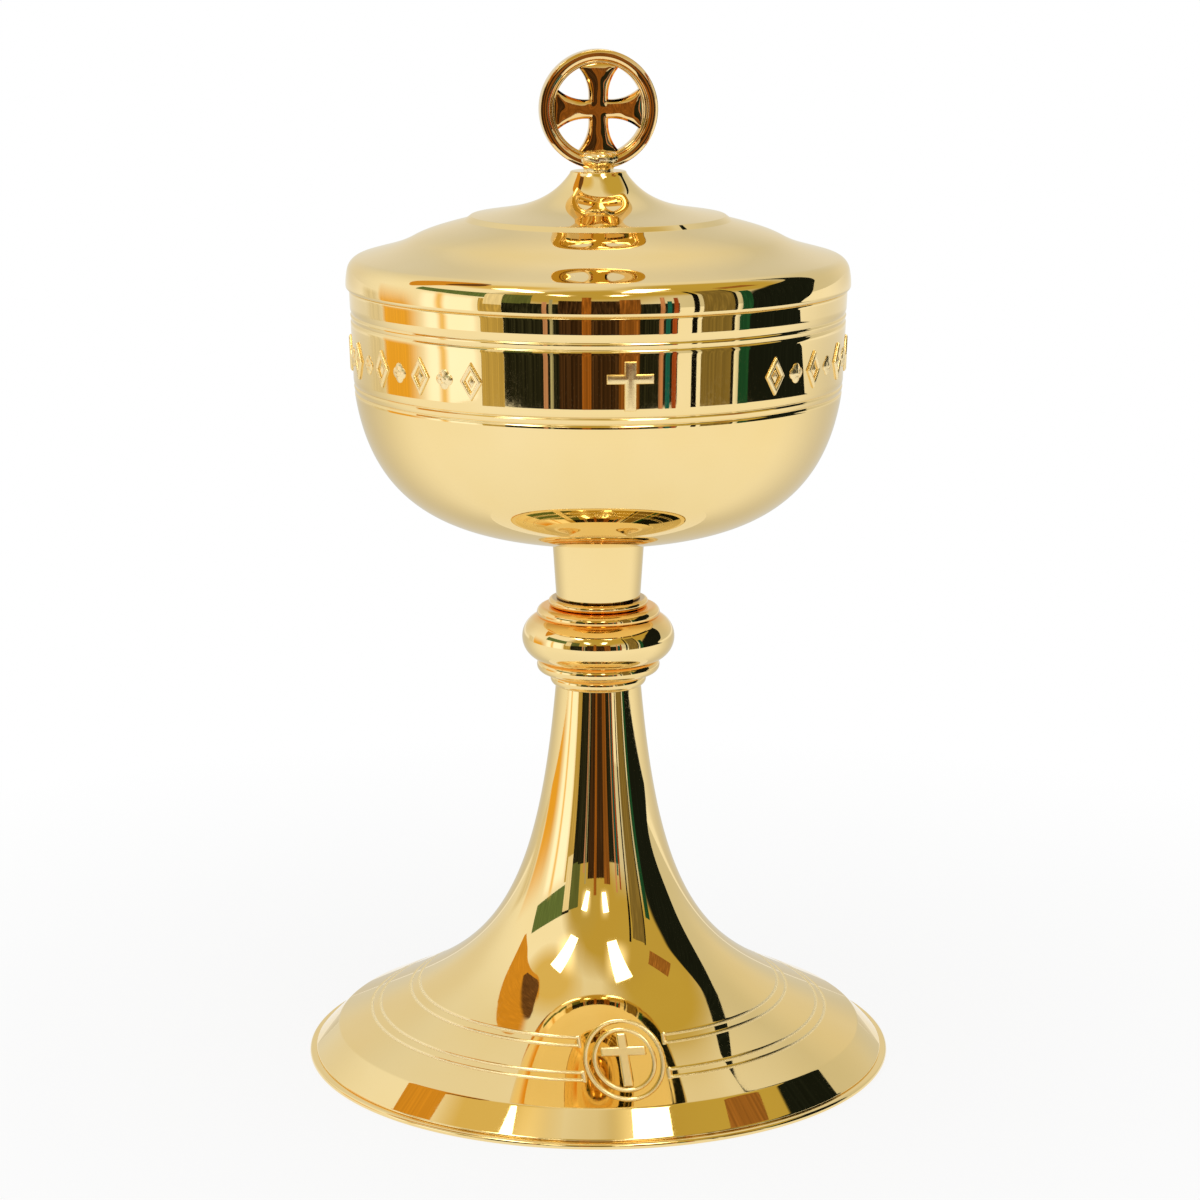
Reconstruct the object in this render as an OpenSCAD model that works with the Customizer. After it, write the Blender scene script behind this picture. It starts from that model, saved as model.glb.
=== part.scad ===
// Ciborium: a covered cup on a tall foot, spun and turned in brass and gold plated.
// The lid lifts off. A threaded rod draws the cup, stem, knop and foot together.
// Origin: middle of the base, on the table. +Z is up and the front faces -Y.

/* [Base and foot] */
// Diameter of the base ring that stands on the table
base_d = 140.2; // [126:0.2:156]
// Thickness of the base ring
base_t = 1.4; // [1:0.1:2.4]
// Width of the base ring, from its edge inwards
base_w = 9; // [6:0.5:13]
// How far the base ring stands out past the edge of the foot
lip_w = 1.2; // [0.6:0.1:2]
// Width of the bevelled band at the foot's edge, in plan
band_w = 5.9; // [3:0.1:9]
// Height of the bevelled band
band_h = 5.8; // [3:0.1:9]
// Height of the foot's top above the table
foot_h = 90.6; // [80:0.2:105]
// Diameter of the foot at its top
foot_top_d = 20.3; // [19:0.1:24]
// Thickness of the foot's metal
foot_wall = 1.2; // [0.8:0.1:1.5]
// Slope of the foot where it leaves the band, in degrees
foot_low_slope = 25; // [20:0.5:30]
// Reach of the foot's curve at the band
foot_low_pull = 38; // [30:0.5:44]
// Lean of the foot's wall at its top, in degrees
foot_top_lean = 5; // [2:0.5:8]
// Reach of the foot's curve at its top
foot_top_pull = 61; // [50:0.5:68]

/* [Foot engraving] */
// Diameter of the inner pair of engraved lines
inner_lines_d = 89; // [84:0.5:94]
// Diameter of the outer pair of engraved lines
outer_lines_d = 108; // [102:0.5:114]
// Distance between the two lines of a pair
lines_pitch = 2.1; // [1.4:0.1:3]
// Width of an engraved line
line_w = 0.6; // [0.4:0.05:0.9]
// Depth of an engraved line
line_depth = 0.25; // [0.1:0.05:0.4]
// Distance from the middle of the medallion at which the lines stop
lines_stop = 9.9; // [9.6:0.1:14]
// Diameter of the medallion's outer engraved ring
medallion_d = 18.4; // [15:0.1:20]
// Diameter of the medallion's inner engraved ring
medallion_inner_d = 14.3; // [11.6:0.1:14.4]
// Distance of the medallion's middle from the axis of the foot
medallion_reach = 49.4; // [46:0.1:52]
// Tilt of the medallion towards the viewer, in degrees
medallion_tilt = 20; // [16:0.5:24]
// Height of the medallion's cross, as the viewer sees it
medallion_cross_h = 11.2; // [8:0.1:11.4]
// Width of the medallion's cross
medallion_cross_w = 9.6; // [6:0.1:10]
// Width of the bars of the medallion's cross
medallion_bar = 1.7; // [1:0.1:2.4]
// Height of the cross bar's middle above the foot of the medallion's cross
medallion_bar_rise = 7.4; // [6:0.1:7.8]

/* [Knop and stem] */
// Diameter of the collar on top of the foot
low_collar_d = 22.8; // [21:0.2:26]
// Height of the collar on top of the foot
low_collar_h = 3.2; // [2:0.1:4.4]
// Largest diameter of the knop
knop_d = 36.2; // [34:0.2:42]
// Height of the knop
knop_h = 16; // [14:0.2:20]
// Radius of the knop's rounded belly
knop_round = 5.6; // [4.6:0.1:6.4]
// Height of the belly's widest point above the knop's lower face
knop_mid = 8.5; // [7:0.1:9.5]
// Diameter of the beads above and below the belly
bead_d = 29.2; // [27:0.2:31]
// Height of each bead
bead_h = 3.4; // [2.4:0.1:4]
// Diameter of the collar under the sleeve
top_collar_d = 23.6; // [22.8:0.2:26]
// Height of the collar under the sleeve
top_collar_h = 1.9; // [1.4:0.1:2.2]
// Height of the sleeve between the knop and the cup
sleeve_h = 15.3; // [13:0.1:22]
// Diameter of the sleeve at its lower end
sleeve_low_d = 19.9; // [19.4:0.1:20.4]
// Diameter of the sleeve at its upper end
sleeve_top_d = 21.9; // [20:0.1:22.2]
// Thickness of the sleeve's metal
sleeve_wall = 1; // [0.7:0.1:1.2]

/* [Cup] */
// Diameter of the cup at its rim
cup_d = 115.7; // [108:0.2:124]
// Height of the cup, from its seat on the sleeve to its rim
cup_h = 58.5; // [54:0.2:66]
// Thickness of the cup's metal
cup_wall = 1.1; // [0.8:0.1:1.4]
// Diameter of the flat seat under the cup
cup_seat_d = 22.6; // [22.4:0.2:26]
// Height of the straight wall below the rim
wall_h = 22.9; // [21:0.1:25]
// How far the straight wall draws in towards its lower end
wall_taper = 0.85; // [0.2:0.05:1.6]
// Slope of the bowl where it leaves its seat, in degrees
bowl_low_slope = 2; // [0:0.5:5]
// Reach of the bowl's curve at its seat
bowl_low_pull = 23.5; // [16:0.5:28]
// Lean of the bowl where it meets the straight wall, in degrees
bowl_top_lean = 6.8; // [3:0.2:9]
// Reach of the bowl's curve at the straight wall
bowl_top_pull = 28.5; // [24:0.5:33]
// Drop from the rim to the upper pair of grooves
upper_grooves_drop = 6.3; // [5:0.1:7]
// Drop from the rim to the lower pair of grooves
lower_grooves_drop = 22.9; // [22:0.1:24]
// Distance between the two grooves of a pair
groove_pitch = 1.56; // [1.3:0.02:1.9]
// Width of a groove
groove_w = 1; // [0.6:0.05:1.2]
// Depth of a groove
groove_depth = 0.32; // [0.15:0.01:0.4]

/* [Ornament on the cup] */
// Height of the relief above the wall
relief = 0.6; // [0.3:0.05:0.9]
// Drop from the rim to the middle of the ornament
ornament_drop = 15; // [14.6:0.1:15.4]
// Height of the front cross
cross_h = 10.9; // [9:0.1:11.4]
// Width of the front cross
cross_w = 10.3; // [8:0.1:12]
// Width of the upright bar of the front cross
cross_upright = 3; // [2:0.1:3.6]
// Width of the cross bar of the front cross
cross_bar = 2.3; // [1.6:0.1:3]
// Height of the cross bar's middle above the foot of the cross
cross_bar_rise = 7; // [6:0.1:7.6]
// Free arc between the cross and the band of ornament, in degrees
ornament_start = 36; // [30:1:45]
// Number of lozenges in the band
lozenge_count = 21; // [15:1:23]
// Height of a lozenge
lozenge_h = 8.6; // [6:0.1:9.6]
// Width of a lozenge
lozenge_w = 5.6; // [4:0.1:6]
// Width of a lozenge's raised frame
lozenge_frame = 1; // [0.7:0.05:1.2]
// Diameter of the four-lobed flower between two lozenges
flower_d = 4.6; // [4.2:0.1:5]
// Radius of a flower's lobes
flower_lobe = 1.35; // [1.3:0.01:1.5]

/* [Lid] */
// How far the lid's edge stands out past the rim of the cup
lid_overhang = 0.8; // [0.4:0.1:1.6]
// Thickness of the lid's metal
lid_wall = 1; // [0.7:0.1:1.2]
// Radius of the lid's rolled lower edge
edge_round = 0.9; // [0.8:0.1:1.6]
// Height of the lid's upright edge
skirt_h = 3.1; // [2.6:0.1:4]
// Height of the lid from the rim of the cup to the crown
lid_h = 26.8; // [25:0.1:30]
// Diameter of the outer step in the lid
outer_step_d = 88.5; // [84:0.5:92]
// Height of the outer step above the rim of the cup
outer_step_h = 11; // [10:0.1:12]
// Slope of the lid at the outer step, in degrees
outer_step_slope = 28.5; // [22:0.5:34]
// Diameter of the inner step in the lid
inner_step_d = 60.5; // [56:0.5:65]
// Height of the inner step above the rim of the cup
inner_step_h = 16.1; // [15.2:0.05:17.2]
// Slope of the lid at the inner step, in degrees
inner_step_slope = 24.5; // [20:0.5:32]
// Diameter of the crown
crown_d = 13.2; // [12.6:0.1:15]
// Slope of the lid where it reaches the crown, in degrees
crown_slope = 55; // [48:0.5:66]
// Rounding of the crown's edge
crown_round = 0.6; // [0.3:0.1:0.9]
// Reach of the lid's curve at its shoulder
shoulder_pull = 5.5; // [4.4:0.1:6.5]
// Reach of the lid's curve on each side of the outer step
outer_step_pull = 7.2; // [5:0.1:8]
// Reach of the lid's curve on each side of the inner step
inner_step_pull = 5.7; // [5:0.1:7]
// Reach of the lid's curve at the crown
crown_pull = 12; // [10:0.1:13]
// Depth that the lid's collar reaches into the cup
collar_drop = 7; // [4:0.5:10]
// Thickness of the lid's collar
collar_wall = 1; // [0.8:0.1:1.4]
// Gap between the lid's collar and the cup
collar_play = 0.4; // [0.3:0.05:0.6]

/* [Finial] */
// Outer diameter of the finial's ring
ring_d = 27.2; // [24:0.2:32]
// Depth of the ring, front to back
ring_depth = 5; // [4:0.1:5.6]
// Width of the ring's outer half-round
ring_band = 2.2; // [1.6:0.1:2.8]
// Width of the ring's inner bead
ring_bead = 1; // [0.6:0.1:1.4]
// Depth of the ring's inner bead
ring_bead_depth = 3.8; // [3.4:0.1:4]
// Half width of the cross's arms near the middle
arm_waist = 2; // [1.6:0.05:2.4]
// Distance from the middle of the cross to the narrowest part of an arm
arm_waist_at = 3; // [2.6:0.1:3.4]
// Radius of the hollow sides of the arms
arm_hollow = 10.9; // [9.6:0.1:13]
// Thickness of the cross at its edges
cross_edge_t = 2.2; // [1.6:0.1:2.6]
// Thickness of the cross at its face
cross_face_t = 3.2; // [2.8:0.1:3.4]
// Width of the bevel round the face of the cross
cross_bevel = 0.7; // [0.4:0.05:0.9]
// Diameter of the finial's foot on the crown
finial_foot_d = 7; // [6:0.1:8]
// Diameter of the finial's bud, which holds the ring
bud_d = 9; // [8.2:0.1:10]
// Height of the bud
bud_h = 4.6; // [4:0.1:5.6]
// Thickness of the web under the ring
bud_web = 0.5; // [0.4:0.1:1]

/* [Fasteners] */
// Diameter of the tie rod
rod_d = 6; // [5:0.5:7]
// Diameter of the stud under the finial
stud_d = 4; // [3:0.5:5]
// Length of the stud below the crown
stud_l = 9; // [8:0.5:12]
// Gap round a rod in the pieces that it passes through
rod_play = 0.2; // [0.1:0.05:0.4]
// Gap between a rod and its thread
thread_play = 0.04; // [0.02:0.01:0.08]
// Thickness of a nut's wall at its flats
nut_wall = 1.8; // [1.4:0.1:2.2]
// Height of the nut under the foot
foot_nut_h = 5; // [4:0.1:6.5]
// Height of the nut under the crown
lid_nut_h = 3.2; // [2.4:0.1:4]
// Thickness of the washers
washer_t = 1; // [0.8:0.1:1.4]
// Gap between the foot's washer and the inside of the foot
washer_play = 0.8; // [0.5:0.1:1.2]
// Width of the lid's washer past its stud
lid_washer_w = 2.4; // [2:0.1:2.6]
// Length of the rod below its nut
rod_end = 4; // [2:0.5:8]
// Thickness of the boss round the tie rod
boss_wall = 4; // [3:0.1:4.6]
// Height of the boss under the cup
boss_h = 10; // [8:0.5:12]

/* [Hidden] */
$fn = 96;

gold = [0.93, 0.72, 0.31];
pale_gold = [0.96, 0.80, 0.45];
plain_brass = [0.80, 0.64, 0.32];
bright_steel = [0.72, 0.73, 0.75];

// Number of straight steps in each drawn curve, and in a rounded corner
curve_steps = 28;
corner_steps = 8;
// Extra length by which a cut passes the face that it opens
cut_past = 1;
full_turn = 360;

// Heights of the stacked pieces
low_collar_z = foot_h;
knop_z = low_collar_z + low_collar_h;
top_collar_z = knop_z + knop_h;
sleeve_z = top_collar_z + top_collar_h;
cup_z = sleeve_z + sleeve_h;
rim_z = cup_z + cup_h;
crown_z = rim_z + lid_h;
ring_z = crown_z + bud_web + ring_d / 2;
ring_inner_r = ring_d / 2 - ring_band - ring_bead;

// A point at a distance and an angle from the origin of the outline
function polar(length, angle) = length * [cos(angle), sin(angle)];

// A point on a cubic curve, and the whole curve as points
function curve_point(a, b, c, d, t) =
    pow(1 - t, 3) * a + 3 * pow(1 - t, 2) * t * b + 3 * (1 - t) * pow(t, 2) * c + pow(t, 3) * d;
function curve(a, b, c, d) =
    [for (step = [0 : curve_steps]) curve_point(a, b, c, d, step / curve_steps)];

// A quarter of a circle, from one angle to another
function corner(middle, radius, from, to) =
    [for (step = [0 : corner_steps]) middle + polar(radius, from + (to - from) * step / corner_steps)];

// An outline moved square to itself; a positive distance moves it outwards
function neighbour(path, place) = path[min(max(place, 0), len(path) - 1)];
function outward(run) = [run[1], -run[0]] / norm(run);
function moved(path, distance) =
    [for (place = [0 : len(path) - 1])
        path[place] + distance * outward(neighbour(path, place + 1) - neighbour(path, place - 1))];

// Radius at a height on an outline, and height at a radius
function radius_at(path, height) = lookup(height, [for (p = path) [p[1], p[0]]]);
function height_at(path, radius) = lookup(radius, [for (p = path) [p[0], p[1]]]);

// Outline of the foot, from its edge up to its top
foot_edge_r = base_d / 2 - lip_w;
crease = [foot_edge_r - band_w, base_t + band_h];
foot_top = [foot_top_d / 2, foot_h];
foot_path = concat(
    [[foot_edge_r, base_t]],
    curve(crease, crease + polar(foot_low_pull, 180 - foot_low_slope),
          foot_top + polar(foot_top_pull, foot_top_lean - 90), foot_top)
);

// Outline of the cup, from its seat up to its rim
rim = [cup_d / 2, rim_z];
wall_foot = [cup_d / 2 - wall_taper, rim_z - wall_h];
cup_seat = [cup_seat_d / 2, cup_z];
cup_path = concat(
    curve(cup_seat, cup_seat + polar(bowl_low_pull, bowl_low_slope),
          wall_foot + polar(bowl_top_pull, 270 - bowl_top_lean), wall_foot),
    [rim]
);

// Outline of the lid, from its lower edge up to the crown
lid_r = cup_d / 2 + lid_overhang;
skirt_top = [lid_r, rim_z + skirt_h];
outer_step = [outer_step_d / 2, rim_z + outer_step_h];
inner_step = [inner_step_d / 2, rim_z + inner_step_h];
crown_edge = [crown_d / 2, crown_z - crown_round];
lid_path = concat(
    curve(skirt_top, skirt_top + [0, shoulder_pull],
          outer_step + polar(outer_step_pull, -outer_step_slope), outer_step),
    curve(outer_step, outer_step + polar(outer_step_pull, 180 - outer_step_slope),
          inner_step + polar(inner_step_pull, -inner_step_slope), inner_step),
    curve(inner_step, inner_step + polar(inner_step_pull, 180 - inner_step_slope),
          crown_edge + polar(crown_pull, -crown_slope), crown_edge)
);
rolled_edge = corner([lid_r - edge_round, rim_z + edge_round], edge_round, -90, 0);
crown_corner = corner(crown_edge - [crown_round, 0], crown_round, 0, 90);
collar_r = radius_at(moved(cup_path, -cup_wall), rim_z - collar_drop) - collar_play;

// Relief on the cup
ornament_z = rim_z - ornament_drop;
ornament_arc = full_turn - 2 * ornament_start;
lozenge_step = ornament_arc / (lozenge_count - 1);

// Rods and nuts
rod_r = rod_d / 2;
stud_r = stud_d / 2;
foot_nut_z = foot_h - foot_wall - washer_t - foot_nut_h;
lid_nut_z = crown_z - lid_wall - washer_t - lid_nut_h;

// Fill between an outline and the axis, from one height to another
module filled(path, low, high) {
    polygon(concat([[0, low], [path[0][0], low]], path, [[path[len(path) - 1][0], high], [0, high]]));
}

// Ring with square edges
module ring(outer_r, inner_r, low, high) {
    translate([0, 0, low])
        difference() {
            cylinder(h = high - low, r = outer_r);
            translate([0, 0, -cut_past])
                cylinder(h = high - low + 2 * cut_past, r = inner_r);
        }
}

// Turned ring with a half-round edge and a hole for the tie rod
module turned_collar(diameter, height, low) {
    round = height / 2;
    rotate_extrude()
        difference() {
            union() {
                translate([0, low])
                    square([diameter / 2 - round, height]);
                translate([diameter / 2 - round, low + round])
                    circle(r = round);
            }
            translate([0, low - cut_past])
                square([rod_r + rod_play, height + 2 * cut_past]);
        }
}

// Hexagonal nut on a rod
module hex_nut(radius, height, low) {
    translate([0, 0, low])
        difference() {
            cylinder(h = height, r = (radius + nut_wall) / cos(30), $fn = 6);
            translate([0, 0, -cut_past])
                cylinder(h = height + 2 * cut_past, r = radius + thread_play);
        }
}

// Upright cross with its foot at the origin
module latin_cross(height, width, upright, bar, bar_rise) {
    translate([-upright / 2, 0])
        square([upright, height]);
    translate([-width / 2, bar_rise - bar / 2])
        square([width, bar]);
}

// Thin layer at the surface of the foot, to hold what is engraved there
module foot_skin(depth) {
    below = moved(foot_path, -depth);
    above = moved(foot_path, cut_past);
    rotate_extrude()
        polygon(concat(below, [for (place = [len(above) - 1 : -1 : 0]) above[place]]));
}

// Engraved line round the foot, open in front of the medallion
module foot_line(diameter) {
    stop_angle = asin(2 * lines_stop / diameter);
    rotate([0, 0, stop_angle - 90])
        rotate_extrude(angle = full_turn - 2 * stop_angle)
            translate([diameter / 2, height_at(foot_path, diameter / 2) + line_w / 2 - line_depth])
                circle(d = line_w, $fn = 24);
}

// Outline pushed through the foot along the viewer's line to the medallion
module medallion_cut(length) {
    translate([0, -medallion_reach, height_at(foot_path, medallion_reach)])
        rotate([90 - medallion_tilt, 0, 0])
            linear_extrude(height = length, center = true)
                children();
}

// Outline of the medallion: two rings and a cross
module medallion_outline() {
    for (diameter = [medallion_d, medallion_inner_d])
        difference() {
            circle(d = diameter);
            circle(d = diameter - 2 * line_w);
        }
    translate([0, -medallion_cross_h / 2])
        latin_cross(medallion_cross_h, medallion_cross_w, medallion_bar, medallion_bar,
                    medallion_bar_rise);
}

// Groove round the cup
module cup_groove(drop) {
    height = rim_z - drop;
    rotate_extrude()
        translate([radius_at(cup_path, height) + groove_w / 2 - groove_depth, height])
            circle(d = groove_w, $fn = 32);
}

// Layer on the straight wall of the cup, as thick as the relief
module wall_skin() {
    rotate_extrude()
        polygon([
            wall_foot, wall_foot + [relief, 0],
            rim + [relief, 0], rim
        ]);
}

// Outline raised on the cup's wall, at an angle from the front
module on_wall(angle) {
    intersection() {
        rotate([0, 0, angle])
            translate([0, -wall_foot[0] + cup_wall, ornament_z])
                rotate([90, 0, 0])
                    linear_extrude(height = cup_wall + wall_taper + relief + cut_past)
                        children();
        wall_skin();
    }
}

// Lozenge frame
module lozenge() {
    inner = 1 - 2 * lozenge_frame / lozenge_w;
    half = [lozenge_w, lozenge_h] / 2;
    points = [[half[0], 0], [0, half[1]], [-half[0], 0], [0, -half[1]]];
    difference() {
        polygon(points);
        polygon(inner * points);
    }
}

// Flower with four round lobes
module flower() {
    for (side = [0 : 3])
        rotate(side * 90)
            translate([flower_d / 2 - flower_lobe, 0])
                circle(r = flower_lobe);
}

// Opening between two neighbouring arms of the finial's cross, moved into the arms by the bevel
module finial_opening(inset) {
    far = arm_waist + arm_hollow;
    intersection() {
        circle(r = ring_d);
        translate([far, arm_waist_at])
            circle(r = arm_hollow + inset);
        translate([arm_waist_at, far])
            circle(r = arm_hollow + inset);
    }
}

// Outline of the finial's cross, drawn in by the width of its bevel
module finial_cross_outline(inset) {
    difference() {
        circle(r = ring_inner_r - inset);
        for (side = [0 : 3])
            rotate(side * 90)
                finial_opening(inset);
    }
}

// Base ring with a half-round edge
module base_ring() {
    round = base_t / 2;
    color(gold)
        rotate_extrude()
            difference() {
                union() {
                    square([base_d / 2 - round, base_t]);
                    translate([base_d / 2 - round, round])
                        circle(r = round);
                }
                translate([0, -cut_past])
                    square([base_d / 2 - base_w, base_t + 2 * cut_past]);
            }
}

// Spun trumpet foot with its engraving
module foot_shell() {
    color(gold)
        difference() {
            rotate_extrude()
                difference() {
                    filled(foot_path, base_t, foot_h);
                    intersection() {
                        filled(moved(foot_path, -foot_wall), -cut_past, foot_h);
                        square([base_d, foot_h - foot_wall]);
                    }
                    translate([0, base_t])
                        square([rod_r + rod_play, foot_h]);
                }
            for (diameter = [inner_lines_d, outer_lines_d], side = [-1, 1])
                foot_line(diameter + side * lines_pitch);
            intersection() {
                foot_skin(line_depth);
                medallion_cut(medallion_d)
                    medallion_outline();
            }
        }
}

// Collar between the foot and the knop
module low_collar() {
    color(gold)
        turned_collar(low_collar_d, low_collar_h, low_collar_z);
}

// Turned knop: a round belly between two beads
module knop() {
    bead_r = bead_h / 2;
    bead_at = bead_d / 2 - bead_r;
    color(gold)
        rotate_extrude()
            translate([0, knop_z])
                difference() {
                    union() {
                        square([bead_at, knop_h]);
                        translate([knop_d / 2 - knop_round, knop_mid])
                            circle(r = knop_round);
                        for (height = [bead_r, knop_h - bead_r])
                            translate([bead_at, height])
                                circle(r = bead_r);
                    }
                    translate([0, -cut_past])
                        square([rod_r + rod_play, knop_h + 2 * cut_past]);
                }
}

// Collar between the knop and the sleeve
module top_collar() {
    color(gold)
        turned_collar(top_collar_d, top_collar_h, top_collar_z);
}

// Sleeve between the knop and the cup
module stem_sleeve() {
    low = sleeve_low_d / 2;
    top = sleeve_top_d / 2;
    color(gold)
        rotate_extrude()
            translate([0, sleeve_z])
                polygon([
                    [low - sleeve_wall, 0], [low, 0],
                    [top, sleeve_h], [top - sleeve_wall, sleeve_h]
                ]);
}

// Spun cup with two pairs of grooves
module cup_bowl() {
    color(gold)
        difference() {
            rotate_extrude()
                difference() {
                    filled(cup_path, cup_z, rim_z);
                    intersection() {
                        filled(moved(cup_path, -cup_wall), cup_z + cup_wall, rim_z + cut_past);
                        translate([0, cup_z + cup_wall])
                            square([cup_d, cup_h]);
                    }
                }
            for (drop = [upper_grooves_drop, lower_grooves_drop], side = [-1, 1])
                cup_groove(drop + side * groove_pitch / 2);
        }
}

// Raised cross on the front of the cup
module cup_cross() {
    color(pale_gold)
        on_wall(0)
            translate([0, -cross_h / 2])
                latin_cross(cross_h, cross_w, cross_upright, cross_bar, cross_bar_rise);
}

// Raised band of lozenges and flowers round the cup
module cup_ornament() {
    color(pale_gold) {
        for (place = [0 : lozenge_count - 1])
            on_wall(ornament_start + place * lozenge_step)
                lozenge();
        for (place = [0 : lozenge_count - 2])
            on_wall(ornament_start + (place + 0.5) * lozenge_step)
                flower();
    }
}

// Threaded boss soldered under the cup
module cup_boss() {
    color(plain_brass)
        ring(rod_r + boss_wall, rod_r + thread_play, cup_z - boss_h, cup_z);
}

// Threaded rod from the nut under the foot up to the cup's boss
module tie_rod() {
    low = foot_nut_z - rod_end;
    color(bright_steel)
        translate([0, 0, low])
            cylinder(h = cup_z - low, r = rod_r);
}

// Washer inside the top of the foot
module foot_washer() {
    top = foot_h - foot_wall;
    color(bright_steel)
        ring(foot_top_d / 2 - foot_wall - washer_play, rod_r + rod_play, top - washer_t, top);
}

// Nut that draws the foot, knop and cup together
module foot_nut() {
    color(bright_steel)
        hex_nut(rod_r, foot_nut_h, foot_nut_z);
}

// Spun lid with a rolled edge and two soft steps
module lid_shell() {
    lid_inside = concat([[lid_r - lid_wall, rim_z + lid_wall]], moved(lid_path, -lid_wall));
    color(gold)
        rotate_extrude()
            difference() {
                filled(concat(rolled_edge, lid_path, crown_corner), rim_z, crown_z);
                intersection() {
                    filled(lid_inside, rim_z + lid_wall, crown_z);
                    square([cup_d, crown_z - lid_wall]);
                }
                translate([0, rim_z - cut_past])
                    square([collar_r, lid_wall + 2 * cut_past]);
                translate([0, rim_z])
                    square([stud_r + rod_play, lid_h + cut_past]);
            }
}

// Collar soldered inside the lid, which centres it in the cup
module lid_collar() {
    color(gold)
        ring(collar_r, collar_r - collar_wall, rim_z - collar_drop, rim_z + lid_wall);
}

// Bud that holds the ring, with the stud below it
module finial_base() {
    color(gold)
        union() {
            difference() {
                rotate_extrude()
                    finial_bud_outline();
                translate([0, 0, ring_z])
                    rotate([90, 0, 0])
                        cylinder(h = ring_depth, d = ring_d, center = true);
            }
            translate([0, 0, crown_z - stud_l])
                cylinder(h = stud_l + bud_web / 2, r = stud_r);
        }
}

// Outline of the bud: a flared cup with a rounded top
module finial_bud_outline() {
    round = bud_h / 3;
    translate([0, crown_z]) {
        polygon([
            [0, 0], [finial_foot_d / 2, 0], [bud_d / 2, bud_h - round],
            [bud_d / 2 - round, bud_h], [0, bud_h]
        ]);
        intersection() {
            translate([bud_d / 2 - round, bud_h - round])
                circle(r = round);
            square([bud_d, bud_h]);
        }
    }
}

// Ring of the finial: a half-round band with a bead inside it
module finial_ring() {
    round = ring_band / 2;
    middle = ring_d / 2 - round;
    color(gold)
        translate([0, 0, ring_z])
            rotate([90, 0, 0])
                rotate_extrude() {
                    translate([middle - round, round - ring_depth / 2])
                        square([ring_band, ring_depth - ring_band]);
                    for (side = [-1, 1])
                        translate([middle, side * (ring_depth / 2 - round)])
                            circle(r = round);
                    translate([middle - round - ring_bead, -ring_bead_depth / 2])
                        square([ring_bead + round, ring_bead_depth]);
                }
}

// Cross inside the ring, with flared arms and a stepped bevel
module finial_cross() {
    color(gold)
        translate([0, 0, ring_z])
            rotate([90, 0, 0]) {
                linear_extrude(height = cross_edge_t, center = true)
                    finial_cross_outline(0);
                linear_extrude(height = cross_face_t, center = true)
                    finial_cross_outline(cross_bevel);
            }
}

// Washer under the crown
module lid_washer() {
    top = crown_z - lid_wall;
    color(bright_steel)
        ring(stud_r + lid_washer_w, stud_r + rod_play, top - washer_t, top);
}

// Nut that holds the finial on the lid
module lid_nut() {
    color(bright_steel)
        hex_nut(stud_r, lid_nut_h, lid_nut_z);
}

base_ring();
foot_shell();
low_collar();
knop();
top_collar();
stem_sleeve();
cup_bowl();
cup_cross();
cup_ornament();
cup_boss();
tie_rod();
foot_washer();
foot_nut();
lid_shell();
lid_collar();
finial_base();
finial_ring();
finial_cross();
lid_washer();
lid_nut();
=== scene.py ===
import math

import bmesh
import bpy
import numpy as np
from mathutils import Matrix, Vector, noise


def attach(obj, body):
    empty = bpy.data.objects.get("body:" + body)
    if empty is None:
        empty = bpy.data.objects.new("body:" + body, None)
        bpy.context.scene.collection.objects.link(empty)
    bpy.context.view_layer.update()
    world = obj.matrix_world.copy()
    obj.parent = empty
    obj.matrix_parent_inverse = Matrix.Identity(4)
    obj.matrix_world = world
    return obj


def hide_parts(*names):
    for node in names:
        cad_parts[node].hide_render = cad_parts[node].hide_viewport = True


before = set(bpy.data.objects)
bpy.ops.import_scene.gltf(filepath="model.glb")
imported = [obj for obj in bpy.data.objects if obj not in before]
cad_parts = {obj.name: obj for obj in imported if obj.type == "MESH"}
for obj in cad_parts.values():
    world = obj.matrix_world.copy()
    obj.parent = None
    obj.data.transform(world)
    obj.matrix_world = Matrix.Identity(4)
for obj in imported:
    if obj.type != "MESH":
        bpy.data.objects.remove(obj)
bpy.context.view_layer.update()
mm = 0.001


class Sizes(dict):
    # a dictionary whose values are also read as attributes
    __getattr__ = dict.__getitem__


print("frame loaded,", len(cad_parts), "nodes")


# outline helpers, all in millimetres: a point is (radius, height)

leastGap = 0.05  # between points of an outline where two paths meet


def point(*values):
    return np.array(values, float)


def points(*pairs):
    return [point(*pair) for pair in pairs]


def polar(length, degrees):
    turn = math.radians(degrees)
    return point(length * math.cos(turn), length * math.sin(turn))


def angleOf(vector):
    return math.degrees(math.atan2(vector[1], vector[0]))


def unit(vector):
    return vector / np.linalg.norm(vector)


def curve(a, b, c, d, steps):
    t = np.linspace(0, 1, steps + 1)[:, None]
    return list((1 - t) ** 3 * a + 3 * (1 - t) ** 2 * t * b + 3 * (1 - t) * t ** 2 * c + t ** 3 * d)


def arc(middle, radius, first, last, steps=12):
    return [middle + polar(radius, first + (last - first) * k / steps) for k in range(steps + 1)]


def sideOf(path):
    # unit vectors square to a path, towards its right-hand side
    run = np.gradient(np.array(path), axis=0)
    side = np.column_stack((run[:, 1], -run[:, 0]))
    return side / np.linalg.norm(side, axis=1)[:, None]


def moved(path, distance):
    return list(np.array(path) + distance * sideOf(path))


def softCorner(before, corner, after, radius, steps=6):
    a, b = unit(before - corner), unit(after - corner)
    half = math.acos(np.clip(a @ b, -1, 1)) / 2
    middle = corner + unit(a + b) * radius / math.sin(half)
    first = corner + a * radius / math.tan(half) - middle
    last = corner + b * radius / math.tan(half) - middle
    swing = math.atan2(first[0] * last[1] - first[1] * last[0], first @ last)
    return arc(middle, radius, angleOf(first), angleOf(first) + math.degrees(swing), steps)


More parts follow.
